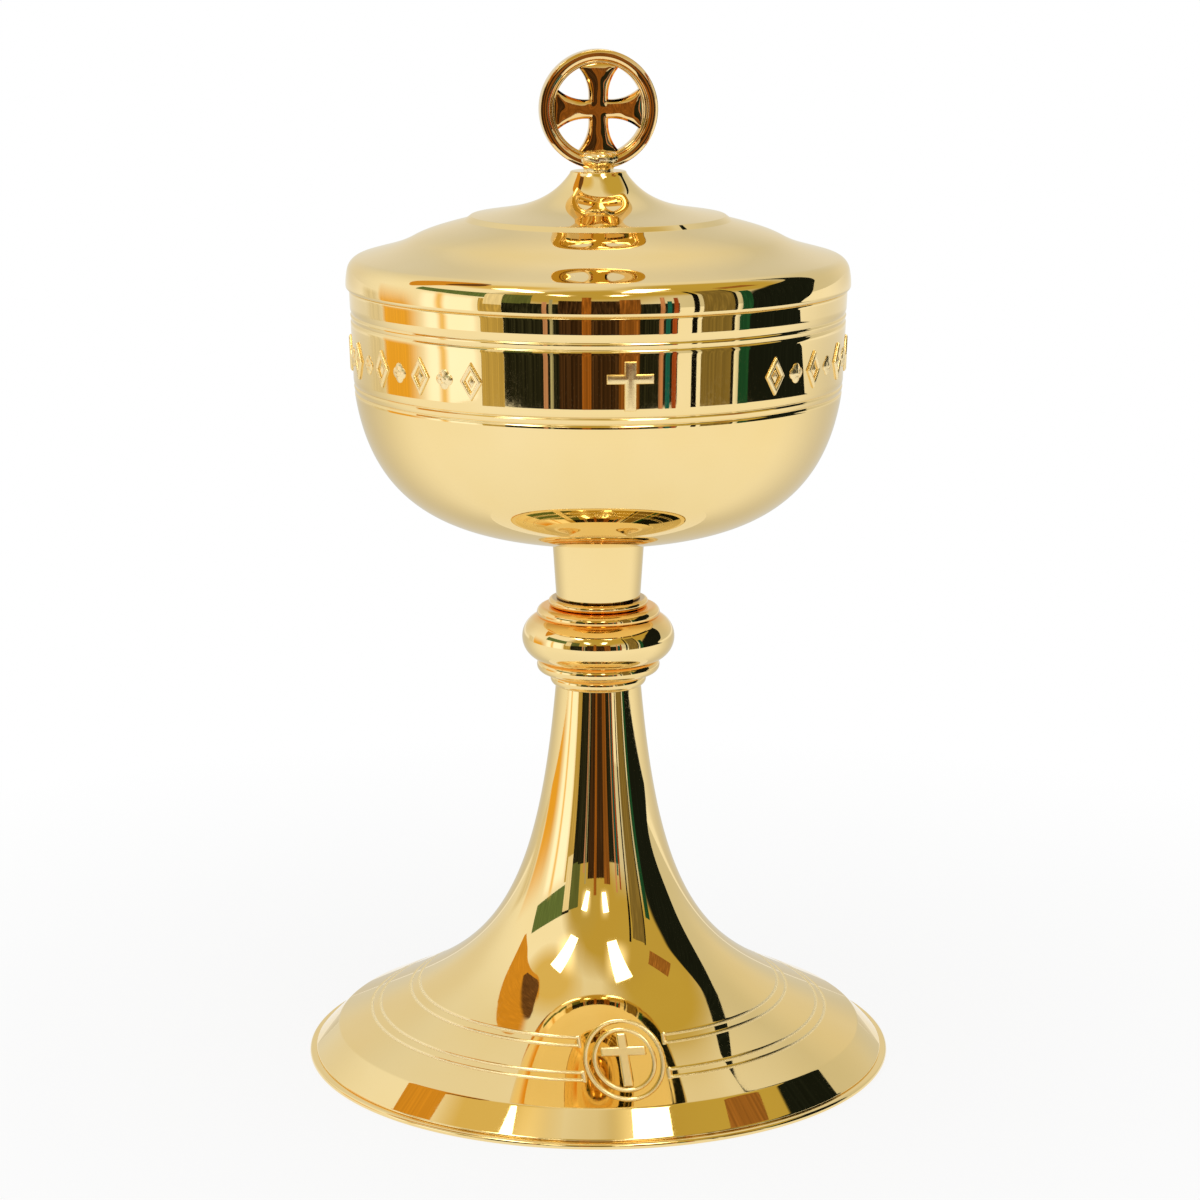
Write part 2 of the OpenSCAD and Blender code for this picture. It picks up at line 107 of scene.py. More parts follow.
def softLoop(corners, radius):
    # closed outline with every corner rounded; it starts half way along its last side
    start = (corners[-1] + corners[0]) / 2
    loop = [start]
    for k, corner in enumerate(corners):
        loop += softCorner(corners[k - 1], corner, corners[(k + 1) % len(corners)], radius)
    return loop + [start]


def crossing(middleA, radiusA, middleB, radiusB):
    # outer point where two circles of an outline meet
    gap = middleB - middleA
    span = np.linalg.norm(gap)
    along = (span ** 2 + radiusA ** 2 - radiusB ** 2) / (2 * span)
    off = math.sqrt(radiusA ** 2 - along ** 2)
    sides = [middleA + gap / span * along + s * off * point(gap[1], -gap[0]) / span for s in (1, -1)]
    return max(sides, key=lambda p: p[0])


# nodes, for finishes and shapes alike

def feed(tree, source, socket):
    # a socket takes another node's output or a plain value, a colour without its alpha
    if isinstance(source, bpy.types.NodeSocket):
        tree.links.new(source, socket)
    else:
        socket.default_value = (*source, 1) if socket.type == "RGBA" else source


def addNode(tree, kind, wires=(), **settings):
    # wires: pairs of an input's name or number and what feeds it
    node = tree.nodes.new(kind)
    for label, value in settings.items():
        setattr(node, label, value)
    for socket, source in wires:
        feed(tree, source, node.inputs[socket])
    return node.outputs


def nodeMath(tree, operation, first, second=0.0):
    return addNode(tree, "ShaderNodeMath", ((0, first), (1, second)), operation=operation)[0]


def mixed(tree, share, first, second, kind="RGBA", blend="MIX"):
    wires = (("Factor", share), ("A", first), ("B", second))
    return addNode(tree, "ShaderNodeMix", wires, data_type=kind, blend_type=blend)["Result"]


def mixedShader(tree, share, first, second):
    return addNode(tree, "ShaderNodeMixShader", ((0, share), (1, first), (2, second)))[0]


def spread(tree, source, low, high, outLow=0.0, outHigh=1.0):
    labels = ("Value", "From Min", "From Max", "To Min", "To Max")
    wires = zip(labels, (source, low, high, outLow, outHigh))
    return addNode(tree, "ShaderNodeMapRange", wires)["Result"]


def noiseOn(tree, vector, scale, detail):
    wires = (("Vector", vector), ("Scale", scale), ("Detail", detail))
    return addNode(tree, "ShaderNodeTexNoise", wires)["Fac"]


def attribute(tree, name, output):
    return addNode(tree, "ShaderNodeAttribute", attribute_name=name)[output]


def turnedPlace(tree):
    # the place on a piece, its distance from the axis, and its height
    place = addNode(tree, "ShaderNodeTexCoord")["Object"]
    x, y, z = addNode(tree, "ShaderNodeSeparateXYZ", ((0, place),))
    square = nodeMath(tree, "ADD", nodeMath(tree, "POWER", x, 2.0), nodeMath(tree, "POWER", y, 2.0))
    return place, nodeMath(tree, "SQRT", square), z


# materials

def newFinish(name):
    finish = bpy.data.materials.new(name)
    finish.use_nodes = True
    return finish, finish.node_tree, finish.node_tree.nodes["Principled BSDF"].inputs


def newMetal(name):
    # also gives two places for patterns: the plain one, and one on which they run round the piece
    finish, tree, inputs = newFinish(name)
    inputs["Metallic"].default_value = 1.0
    place, radius, height = turnedPlace(tree)
    turned = addNode(tree, "ShaderNodeCombineXYZ", ((0, radius), (1, height)))[0]
    return finish, tree, inputs, place, turned


def addBump(tree, height, strength):
    wires = (("Height", height), ("Strength", strength), ("Distance", 0.2 * mm))
    return addNode(tree, "ShaderNodeBump", wires)["Normal"]


# patterns are (scale, detail)
goldFinish = Sizes(
    colour=(0.93, 0.73, 0.36), warm=(0.90, 0.68, 0.29), cloud=(26, 3), cloudRange=(0.35, 0.75),
    smooth=0.018, worn=0.06, speckle=(900, 2), haze=(65, 4), marksRange=(0.2, 0.5), lines=(2600, 2),
    bump=0.001)


def makeGold(name, **changes):
    s = Sizes(goldFinish, **changes)
    finish, tree, inputs, place, turned = newMetal(name)
    # plating that is a little warmer in places
    cloud = spread(tree, noiseOn(tree, place, *s.cloud), *s.cloudRange)
    feed(tree, mixed(tree, cloud, s.colour, s.warm), inputs["Base Color"])
    # polish with faint wiping marks
    speck, haze = [noiseOn(tree, place, *s[k]) for k in ("speckle", "haze")]
    marks = nodeMath(tree, "MULTIPLY", speck, haze)
    feed(tree, spread(tree, marks, *s.marksRange, s.smooth, s.worn), inputs["Roughness"])
    # the lathe's fine turning lines
    feed(tree, addBump(tree, noiseOn(tree, turned, *s.lines), s.bump), inputs["Normal"])
    return finish


polishedGold = makeGold("polishedGold")
reliefGold = makeGold("reliefGold", colour=(0.97, 0.79, 0.45), smooth=0.26, worn=0.42, bump=0.05)
castGold = makeGold("castGold", colour=(0.93, 0.69, 0.33), warm=(0.90, 0.62, 0.25), smooth=0.025,
                    worn=0.08, bump=0.002)
budGold = makeGold("budGold", colour=(0.98, 0.82, 0.50), warm=(0.95, 0.74, 0.36), smooth=0.20, worn=0.40,
                   bump=0.02)

plainFinish = Sizes(
    stain=(180, 3), stainRange=(0.45, 0.8), stainDim=0.72, cuts=(4200, 2), cutRange=(0.3, 0.7),
    bump=0.12)


def makePlainMetal(name, colour, smooth, worn):
    s = plainFinish
    finish, tree, inputs, place, turned = newMetal(name)
    stain = spread(tree, noiseOn(tree, place, *s.stain), *s.stainRange)
    stained = [s.stainDim * c for c in colour]
    feed(tree, mixed(tree, stain, colour, stained), inputs["Base Color"])
    cuts = noiseOn(tree, turned, *s.cuts)
    feed(tree, spread(tree, cuts, *s.cutRange, smooth, worn), inputs["Roughness"])
    feed(tree, addBump(tree, cuts, s.bump), inputs["Normal"])
    return finish


plainBrass = makePlainMetal("plainBrass", (0.80, 0.58, 0.25), 0.22, 0.36)
brightSteel = makePlainMetal("brightSteel", (0.60, 0.61, 0.63), 0.20, 0.34)


def overlay(finish, label, share, value, **kind):
    # mix a value into what already feeds one of a finish's inputs
    tree = finish.node_tree
    socket = tree.nodes["Principled BSDF"].inputs[label]
    feed(tree, mixed(tree, share, socket.links[0].from_socket, value, **kind), socket)


# frosted engraving: its rough finish is real, its paler colour is a painted highlight
frostAndHighlightFinish = Sizes(colour=(0.99, 0.86, 0.55), rough=0.5)


def makeEngravedGold():
    # the foot's gold, frosted in its engraving, with a paler colour there as a painted highlight (attribute
    # "frost")
    finish = makeGold("engravedGold")
    frost = attribute(finish.node_tree, "frost", "Fac")
    overlay(finish, "Base Color", frost, frostAndHighlightFinish.colour)
    overlay(finish, "Roughness", frost, frostAndHighlightFinish.rough, kind="FLOAT")
    return finish


engravedGold = makeEngravedGold()

# stops: heights in mm, each with its share of the deeper orange, which is painted reflection and shade in
# the grooves and joints; then the foot and two upper edges of a dark line, a painted shadow at the sleeve's
# foot
stemPaintedShade = Sizes(
    low=90.0, high=114.0, deep=(0.96, 0.64, 0.26), seam=(0.10, 0.05, 0.02), seamAt=(111.73, 111.98, 112.08),
    stops=((93.3, 0.0), (93.8, 0.7), (94.3, 0.0), (96.4, 0.1), (96.8, 0.8), (97.4, 0.1), (99.0, 0.0),
           (103.8, 0.0), (106.6, 0.25), (107.64, 1.0), (108.2, 0.25), (109.4, 0.25), (109.8, 1.0),
           (110.3, 0.3), (111.71, 0.3)))


def makeStemGoldWithPaintedShade():
    # the stem's gold with painted reflection and shade: deeper orange in the grooves and joints by height,
    # and a painted shadow line where the sleeve stands on the collar
    s = stemPaintedShade
    finish = makeGold("stemGold")
    tree = finish.node_tree
    height = spread(tree, turnedPlace(tree)[2], s.low * mm, s.high * mm)
    paintedShade = addNode(tree, "ShaderNodeValToRGB", ((0, height),))["Color"]
    ramp = paintedShade.node.color_ramp
    # the deeper orange stands in for the gold's reflections of itself and the shade in its hollows
    colours = [(at, [1 + share * (c - 1) for c in s.deep]) for at, share in s.stops]
    # a thin dark band of painted shadow where the sleeve meets the collar, then plain gold above it
    colours += zip(s.seamAt, (s.seam, s.seam, (1.0, 1.0, 1.0)))
    while len(ramp.elements) < len(colours):
        ramp.elements.new(0.5)
    for stop, (at, colour) in zip(ramp.elements, colours):
        stop.position = (at - s.low) / (s.high - s.low)
        stop.color = (*colour, 1)
    # multiply the painted reflection, shade and shadow line into the colour
    overlay(finish, "Base Color", 1.0, paintedShade, blend="MULTIPLY")
    return finish


stemGold = makeStemGoldWithPaintedShade()
print("finishes made")


# geometry nodes

def newTree(name, **inputs):
    tree = bpy.data.node_groups.new(name, "GeometryNodeTree")
    for label, kind in {"Geometry": "Geometry", **inputs}.items():
        tree.interface.new_socket(label, in_out="INPUT", socket_type="NodeSocket" + kind)
    tree.interface.new_socket("Geometry", in_out="OUTPUT", socket_type="NodeSocketGeometry")
    return tree, addNode(tree, "NodeGroupInput"), tree.nodes.new("NodeGroupOutput").inputs[0]


def endTree(tree, shape, finish, output):
    # every tree ends the same way: real geometry with its material
    real = addNode(tree, "GeometryNodeRealizeInstances", ((0, shape),))[0]
    dressed = addNode(tree, "GeometryNodeSetMaterial", (("Geometry", real), ("Material", finish)))[0]
    tree.links.new(dressed, output)


turnSizes = Sizes(crease=math.radians(40), seal=2e-6)


def makeTurnTree():
    # an outline in the XZ plane, turned round Z into a closed skin
    tree, given, output = newTree("turnOutline", Segments="Int", Finish="Material", Crease="Float")
    outline, segments = given["Geometry"], given["Segments"]
    rows = addNode(tree, "GeometryNodeAttributeDomainSize", ((0, outline),))["Point Count"]
    columns = nodeMath(tree, "ADD", segments, 1.0)
    grid = addNode(tree, "GeometryNodeMeshGrid", (("Vertices X", rows), ("Vertices Y", columns)))["Mesh"]
    index = addNode(tree, "GeometryNodeInputIndex")[0]
    row = nodeMath(tree, "FLOOR", nodeMath(tree, "DIVIDE", nodeMath(tree, "ADD", index, 0.5), columns))
    step = nodeMath(tree, "SUBTRACT", index, nodeMath(tree, "MULTIPLY", row, columns))
    turn = nodeMath(tree, "DIVIDE", nodeMath(tree, "MULTIPLY", step, 2 * math.pi), segments)
    here = addNode(tree, "GeometryNodeInputPosition")[0]
    place = addNode(tree, "GeometryNodeSampleIndex",
                    (("Geometry", outline), ("Value", here), ("Index", row)),
                    data_type="FLOAT_VECTOR", domain="POINT")[0]
    swung = addNode(tree, "ShaderNodeVectorRotate", (("Vector", place), ("Angle", turn)),
                    rotation_type="Z_AXIS")[0]
    skin = addNode(tree, "GeometryNodeSetPosition", (("Geometry", grid), ("Position", swung)))[0]
    sealed = addNode(tree, "GeometryNodeMergeByDistance",
                     (("Geometry", skin), ("Distance", turnSizes.seal)))[0]
    outward = addNode(tree, "GeometryNodeFlipFaces", ((0, sealed),))[0]
    smooth = addNode(tree, "GeometryNodeSetShadeSmooth", (("Geometry", outward), ("Shade Smooth", True)))[0]
    bend = addNode(tree, "GeometryNodeInputMeshEdgeAngle")["Unsigned Angle"]
    sharp = addNode(tree, "FunctionNodeCompare", ((0, bend), (1, given["Crease"])),
                    operation="GREATER_THAN")[0]
    wires = (("Geometry", smooth), ("Selection", sharp), ("Shade Smooth", False))
    creased = addNode(tree, "GeometryNodeSetShadeSmooth", wires, domain="EDGE")[0]
    endTree(tree, creased, given["Finish"], output)
    return tree


# pieces

def newPiece(name, data):
    piece = bpy.data.objects.new(name, data)
    bpy.context.scene.collection.objects.link(piece)
    return piece


def bakeTree(piece, tree, **values):
    # run a tree on a piece and keep the result as a plain mesh
    modifier = piece.modifiers.new(tree.name, "NODES")
    modifier.node_group = tree
    names = {s.name: s.identifier for s in tree.interface.items_tree if s.in_out == "INPUT"}
    for label, value in values.items():
        modifier[names[label]] = value
    graph = bpy.context.evaluated_depsgraph_get()
    mesh = bpy.data.meshes.new_from_object(piece.evaluated_get(graph))
    piece.modifiers.remove(modifier)
    old = piece.data
    piece.data = mesh
    bpy.data.meshes.remove(old)
    mesh.name = piece.name
    return piece


def dress(piece, body, node):
    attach(piece, body)
    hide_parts(node)


turnTree = makeTurnTree()


def turnPiece(name, outline, finish, segments):
    mesh = bpy.data.meshes.new(name)
    mesh.from_pydata([(p[0] * mm, 0, p[1] * mm) for p in outline],
                     [(k, k + 1) for k in range(len(outline) - 1)], [])
    return bakeTree(newPiece(name, mesh), turnTree, Segments=segments, Finish=finish,
                    Crease=turnSizes.crease)


def smoothPiece(name, mesh, finish, crease):
    mesh.materials.append(finish)
    mesh.polygons.foreach_set("use_smooth", [True] * len(mesh.polygons))
    if crease:
        mesh.set_sharp_from_angle(angle=math.radians(crease))
    return newPiece(name, mesh)


def meshPiece(name, verts, faces, finish, crease=None):
    mesh = bpy.data.meshes.new(name)
    mesh.from_pydata([tuple(v) for v in verts], [], faces)
    return smoothPiece(name, mesh, finish, crease)


def shapePiece(name, shape, finish, crease):
    mesh = bpy.data.meshes.new(name)
    shape.to_mesh(mesh)
    shape.free()
    return smoothPiece(name, mesh, finish, crease)


def netFaces(rows, wide, closed=True, joined=False):
    # quads between rows of points: closed rows run round, joined ones also meet last to first
    faces = []
    for row in range(rows if joined else rows - 1):
        here, there = row * wide, (row + 1) % rows * wide
        for k in range(wide if closed else wide - 1):
            after = (k + 1) % wide
            faces.append((here + k, here + after, there + after, there + k))
    return faces


def bridge(shape, loops, closed=True):
    # the same between rows of a bmesh's points
    flat = [vert for loop in loops for vert in loop]
    for face in netFaces(len(loops), len(loops[0]), closed):
        shape.faces.new([flat[k] for k in face])


# base ring and foot

baseSizes = Sizes(radius=70.1, inner=61.1, thick=1.4, soft=0.2, segments=256)


def makeBaseRing():
    s = baseSizes
    half = s.thick / 2
    start, top, low, out = points((s.radius - half, s.thick), (s.inner, s.thick), (s.inner, 0),
                                  (s.radius, 0))
    outline = [point(s.inner + half, 0)] + arc(start - point(0, half), half, -90, 90)
    outline += softCorner(start, top, low, s.soft) + softCorner(top, low, out, s.soft)
    ring = turnPiece("baseRing", outline + outline[:1], polishedGold, s.segments)
    dress(ring, "cup_and_foot", "base_ring")


footSizes = Sizes(
    edge=(68.9, 1.4), edgeRound=0.25, crease=(63.0, 7.2), creaseRound=1.1, lowSlope=25, lowPull=38,
    top=(10.15, 90.6), topLean=5, topPull=61, wall=1.2, bore=3.2, smoothOver=50, sweepSteps=400,
    creaseEnd=6, fineFrom=62.0, fineTo=37.4, fineStep=0.17, bandTop=8.2, bandStep=0.2, coarseStep=1.15,
    innerStep=3.2, fineSide=14.2, fineTurn=0.2, coarseTurn=2.0)
# lineSlope is the cosine of the foot's slope where the lines run
engraving = Sizes(
    pairs=(44.5, 54.0), apart=1.05, lineHalf=0.42, lineSlope=0.89, depth=0.24, stop=9.9, reach=49.4,
    tilt=20, rings=(8.9, 6.85), ringHalf=0.42, crossHeight=11.9, crossWidth=10.2, bar=1.95, barRise=7.9,
    crossDepth=0.14, crossSoft=0.22, lineFrost=1.5)


def footPath():
    s = footSizes
    edge, crease, top = points(s.edge, s.crease, s.top)
    sweep = curve(crease, crease + polar(s.lowPull, 180 - s.lowSlope),
                  top + polar(s.topPull, s.topLean - 90), top, s.sweepSteps)
    soft = softCorner(edge, crease, sweep[s.creaseEnd], s.creaseRound, 10)
    start = softCorner(edge - point(2, 0), edge, crease, s.edgeRound, 5)
    return start + soft + [p for p in sweep if p[0] < soft[-1][0] - leastGap]


def walk(path, stepAt):
    # points along a path at spacings that a rule gives
    path = np.array(path)
    length = np.concatenate(([0], np.cumsum(np.linalg.norm(np.diff(path, axis=0), axis=1))))
    stops = [0.0]
    while stops[-1] < length[-1]:
        stops.append(stops[-1] + stepAt(*(np.interp(stops[-1], length, path[:, k]) for k in (0, 1))))
    stops = np.array(stops) * length[-1] / stops[-1]
    return np.column_stack([np.interp(stops, length, path[:, k]) for k in (0, 1)])


def footStep(radius, height):
    s = footSizes
    if s.fineTo < radius < s.fineFrom:
        return s.fineStep
    return s.bandStep if height < s.bandTop else s.coarseStep


footOuter = footPath()
footRows = walk(footOuter, footStep)


def groove(distance, half):
    # soft-edged groove, 1 in its middle and 0 from half its width outwards
    return np.where(np.abs(distance) < half, 0.5 + 0.5 * np.cos(np.pi * distance / half), 0.0)


def insideBox(u, v, halfWide, low, high, soft):
    sideways = np.clip((halfWide - np.abs(u)) / soft, 0, 1)
    upright = np.clip(np.minimum(v - low, high - v) / soft, 0, 1)
    return np.minimum(sideways, upright)


def footMarks(x, y, z, radius):
    # depth of the engraving, and of its frosting with a painted highlight, at each place on the foot
    e = engraving
    cut = np.zeros_like(x)
    front = y < 0
    clear = (np.abs(x) >= e.stop) | (y > 0)
    for middle in e.pairs:
        for side in (-1, 1):
            away = (radius - middle - side * e.apart) / e.lineSlope
            cut = np.maximum(cut, np.where(clear, groove(away, e.lineHalf), 0))
        closing = groove(np.abs(x) - e.stop, e.lineHalf)
        between = (np.abs(radius - middle) < e.apart + e.lineHalf) & front
        cut = np.maximum(cut, np.where(between, closing, 0))
    # the medallion lies on a plane that leans with the foot
    lean = math.radians(90 - e.tilt)
    height = np.interp(-e.reach, -footRows[:, 0], footRows[:, 1])
    u, v = x, (y + e.reach) * math.cos(lean) + (z - height) * math.sin(lean)
    for ring in e.rings:
        cut = np.maximum(cut, np.where(front, groove(np.hypot(u, v) - ring, e.ringHalf), 0))
    low, half = -e.crossHeight / 2, e.bar / 2
    middle = low + e.barRise
    upright = insideBox(u, v, half, low, -low, e.crossSoft)
    bar = insideBox(u, v, e.crossWidth / 2, middle - half, middle + half, e.crossSoft)
    cross = np.where(front, np.maximum(upright, bar), 0)
    # frosting with a painted highlight, in the engraved lines and over the medallion's cross
    frost = np.maximum(cross, np.clip(e.lineFrost * cut, 0, 1))
    return np.maximum(e.depth * cut, e.crossDepth * cross), frost


def makeFoot():
    s = footSizes
    # columns: close together in front of the medallion, wide apart elsewhere
    fine = np.arange(-s.fineSide, s.fineSide + 1e-6, s.fineTurn)
    rest = 360 - 2 * s.fineSide
    count = round(rest / s.coarseTurn)
    coarse = s.fineSide + rest * np.arange(1, count) / count
    turns = np.radians(np.concatenate((fine, coarse)) - 90)
    wide = len(turns)
    # the inside of the shell, from its top down to the foot's edge
    ceiling = s.top[1] - s.wall
    inner = [p for p in reversed(moved(footOuter, -s.wall)) if s.edge[1] < p[1] < ceiling]
    inner = [p for p in inner if p[0] < s.edge[0] - s.wall]
    back = walk(inner, lambda r, z: s.innerStep)
    roof = points((s.bore, s.top[1]), (s.bore, ceiling), (back[0][0], ceiling))
    rows = np.vstack((footRows, roof, back, points((back[-1][0], s.edge[1]))))
    radius, z = [np.repeat(rows[:, k:k + 1], wide, axis=1) for k in (0, 1)]
    cut, frost = footMarks(radius * np.cos(turns), radius * np.sin(turns), z, radius)
    cut[len(footRows):], frost[len(footRows):] = 0, 0
    # push the engraving in, square to the surface
    side = sideOf(rows)
    radius -= cut * side[:, :1]
    z -= cut * side[:, 1:]
    verts = np.stack((radius * np.cos(turns), radius * np.sin(turns), z), axis=-1).reshape(-1, 3) * mm
    faces = netFaces(len(rows), wide, joined=True)
    foot = meshPiece("footShell", verts, faces, engravedGold, s.smoothOver)
    mark = foot.data.attributes.new("frost", "FLOAT", "POINT")
    mark.data.foreach_set("value", frost.reshape(-1).astype(np.float32))
    print("foot:", len(rows), "rows,", wide, "columns")
    dress(foot, "cup_and_foot", "foot_shell")


makeBaseRing()
makeFoot()


# knop, collars and sleeve

stemSizes = Sizes(bore=3.2, segments=160)
# low, high, radius
collarSizes = Sizes(lowCollar=(90.6, 3.2, 11.4), topCollar=(109.8, 1.9, 11.8), steps=16)


def makeCollar(name, node):
    low, high, radius = collarSizes[name]
    bore, half = stemSizes.bore, high / 2
    outline = [point(bore, low)]
    outline += arc(point(radius - half, low + half), half, -90, 90, collarSizes.steps)
    outline += points((bore, low + high), (bore, low))
    collar = turnPiece(name, outline, stemGold, stemSizes.segments)
    dress(collar, "cup_and_foot", node)


knopSizes = Sizes(
    low=93.8, high=16.0, belly=(12.5, 8.5), bellyRound=5.6, bellySteps=48, beadAt=12.9, beadRound=1.7,
    beadSteps=18, segments=192)


def makeKnop():
    s, bore = knopSizes, stemSizes.bore
    low, high = s.low, s.low + s.high
    bead, belly = s.beadRound, s.bellyRound
    middle, lowBead, highBead = points((s.belly[0], low + s.belly[1]), (s.beadAt, low + bead),
                                       (s.beadAt, high - bead))
    lowNeck, highNeck = [crossing(end, bead, middle, belly) for end in (lowBead, highBead)]
    outline = [point(bore, low)]
    outline += arc(lowBead, bead, -90, angleOf(lowNeck - lowBead), s.beadSteps)
    outline += arc(middle, belly, angleOf(lowNeck - middle), angleOf(highNeck - middle), s.bellySteps)[1:]
    outline += arc(highBead, bead, angleOf(highNeck - highBead), 90, s.beadSteps)[1:]
    outline += points((bore, high), (bore, low))
    knop = turnPiece("knop", outline, stemGold, s.segments)
    dress(knop, "cup_and_foot", "knop")


sleeveSizes = Sizes(low=(9.95, 111.7), high=(10.95, 127.0), wall=1.0, soft=0.16)


def makeSleeve():
    s = sleeveSizes
    low, high = points(s.low, s.high)
    wall = point(s.wall, 0)
    outline = softLoop([low - wall, low, high, high - wall], s.soft)
    sleeve = turnPiece("stemSleeve", outline, stemGold, stemSizes.segments)
    dress(sleeve, "cup_and_foot", "stem_sleeve")


makeCollar("lowCollar", "low_collar")
makeKnop()
makeCollar("topCollar", "top_collar")
makeSleeve()
print("stem made")


# cup

cupSizes = Sizes(
    seat=(11.3, 127.0), lowSlope=2, lowPull=23.5, wallFoot=(57.0, 162.6), topLean=6.8, topPull=28.5,
    rim=(57.85, 185.5), rimRound=0.45, wall=1.1, bowlSteps=90, wallSteps=8, segments=256,
    grooveDrops=(6.3, 22.9), grooveApart=0.78, grooveHalf=0.52, grooveDepth=0.3, fineStep=0.07,
    fineBeside=0.1, coarseStep=0.9)


def cupOuter():
    # the grooves are cut into the outline itself
    s = cupSizes
    seat, foot, rim = points(s.seat, s.wallFoot, s.rim)
    bowl = curve(seat, seat + polar(s.lowPull, s.lowSlope),
                 foot + polar(s.topPull, 270 - s.topLean), foot, s.bowlSteps)
    steps = s.wallSteps
    plain = bowl + [foot + (rim - foot) * k / steps for k in range(1, steps + 1)]
    grooves = [rim[1] - drop + side * s.grooveApart for drop in s.grooveDrops for side in (-1, 1)]
    near = lambda z: min(abs(z - g) for g in grooves) < s.grooveHalf + s.fineBeside
    rows = walk(plain, lambda r, z: s.fineStep if near(z) else s.coarseStep)
    depth = sum(groove(rows[:, 1] - g, s.grooveHalf) for g in grooves)
    return list(rows - s.grooveDepth * depth[:, None] * sideOf(rows)), plain


def makeCup():
    s = cupSizes
    outer, plain = cupOuter()
    rim, low = point(*s.rim), s.seat[1]
    inner = [p for p in reversed(moved(plain, -s.wall)) if p[1] > low + s.wall + leastGap]
    lipIn = point(inner[0][0], rim[1])
    lip = softCorner(outer[-2], rim, lipIn, s.rimRound)
    lip += softCorner(rim, lipIn, inner[1], s.rimRound)
    outline = [point(0, low)] + outer[:-1] + lip
    outline += [p for p in inner if p[1] < lip[-1][1] - leastGap] + [point(0, low + s.wall)]
    cup = turnPiece("cupBowl", outline, polishedGold, s.segments)
    dress(cup, "cup_and_foot", "cup_bowl")


makeCup()
print("cup made")


# relief on the cup

reliefSizes = Sizes(middle=170.5, sunk=0.12)


def wallRadius(height):
    low, high = points(cupSizes.wallFoot, cupSizes.rim)
    return low[0] + (high[0] - low[0]) * (height - low[1]) / (high[1] - low[1])


def onWall(u, v, rise):
    # from a flat design (right, up, outwards) to the front of the cup's wall
    height = reliefSizes.middle + v
    radius = wallRadius(height) + rise
    turn = u / wallRadius(reliefSizes.middle) - math.pi / 2
    return radius * math.cos(turn) * mm, radius * math.sin(turn) * mm, height * mm


def inset(corners, distance):
    # a closed outline drawn in by a distance, corners kept
    result = []
    for k, corner in enumerate(corners):
        a, b = unit(corner - corners[k - 1]), unit(corners[(k + 1) % len(corners)] - corner)
        a, b = point(-a[1], a[0]), point(-b[1], b[0])
        result.append(corner + distance * (a + b) / (1 + a @ b))
    return result


# levels: how far the outline is drawn in, and its rise
cupCrossSizes = Sizes(
    high=10.9, wide=10.3, upright=2.6, bar=2.1, barRise=7.0, strip=0.6, smoothOver=24,
    levels=((0, -0.12), (0, 0.18), (0.147, 0.4488), (0.42, 0.53), (0.92, 0.6)))


def makeCupCross():
    s = cupCrossSizes
    half, side, low = s.upright / 2, s.wide / 2, -s.high / 2
    barLow, barHigh = [low + s.barRise + way * s.bar / 2 for way in (-1, 1)]
    right = ((half, low), (half, barLow), (side, barLow), (side, barHigh), (half, barHigh), (half, -low))
    left = [(-u, v) for u, v in reversed(right[1:])]
    corners = points((-half, low), *right, *left)
    shape = bmesh.new()
    loops = [[shape.verts.new((*p, rise)) for p in inset(corners, draw)] for draw, rise in s.levels]
    bridge(shape, loops)
    shape.faces.new(loops[-1])
    shape.faces.new(loops[0][::-1])
    # cut it into narrow upright strips, so that it can follow the wall
    for u in np.arange(-side + s.strip, side, s.strip):
        everything = shape.verts[:] + shape.edges[:] + shape.faces[:]
        bmesh.ops.bisect_plane(shape, geom=everything, plane_co=(u, 0, 0), plane_no=(1, 0, 0))
    bmesh.ops.triangulate(shape, faces=[f for f in shape.faces if len(f.verts) > 4])
    for vert in shape.verts:
        vert.co = onWall(*vert.co)
    bmesh.ops.recalc_face_normals(shape, faces=shape.faces)
    cross = shapePiece("cupCross", shape, reliefGold, s.smoothOver)
    dress(cross, "cup_and_foot", "cup_cross")


# frame: share of its width and share of its rise; stud: share of its size and rise
ornamentSizes = Sizes(
    start=36, lozenges=21, smoothOver=32, high=8.6, wide=5.6, frameWidth=1.0, frameRise=0.6, frameSteps=4,
    frame=((0, 0.35), (0.12, 0.75), (0.3, 0.97), (0.5, 1.0), (0.7, 0.97), (0.88, 0.75), (1, 0.35)),
    stud=0.34, studLevels=((1, -0.12), (1, 0.1), (0.86, 0.2), (0.12, 0.5)),
    flower=2.3, lobe=1.35, flowerRise=0.55, flowerTurn=7.5, valley=0.45,
    shares=(1.0, 0.98, 0.9, 0.75, 0.55, 0.36, 0.34, 0.25, 0.12),
    heart=0.35, heartReach=0.36, heartRise=0.72, heartCrown=0.42)


def ringMesh(name, loops, closeTop=False):
    # skin over loops of equal length; the last one may close in a fan
    verts = [p for loop in loops for p in loop]
    count = len(loops[0])
    faces = netFaces(len(loops), count)
    if closeTop:
        verts.append(tuple(np.mean(loops[-1], axis=0)))
        last = (len(loops) - 1) * count
        faces += [(last + k, last + (k + 1) % count, len(verts) - 1) for k in range(count)]
    return meshPiece(name, verts, faces, reliefGold, ornamentSizes.smoothOver)


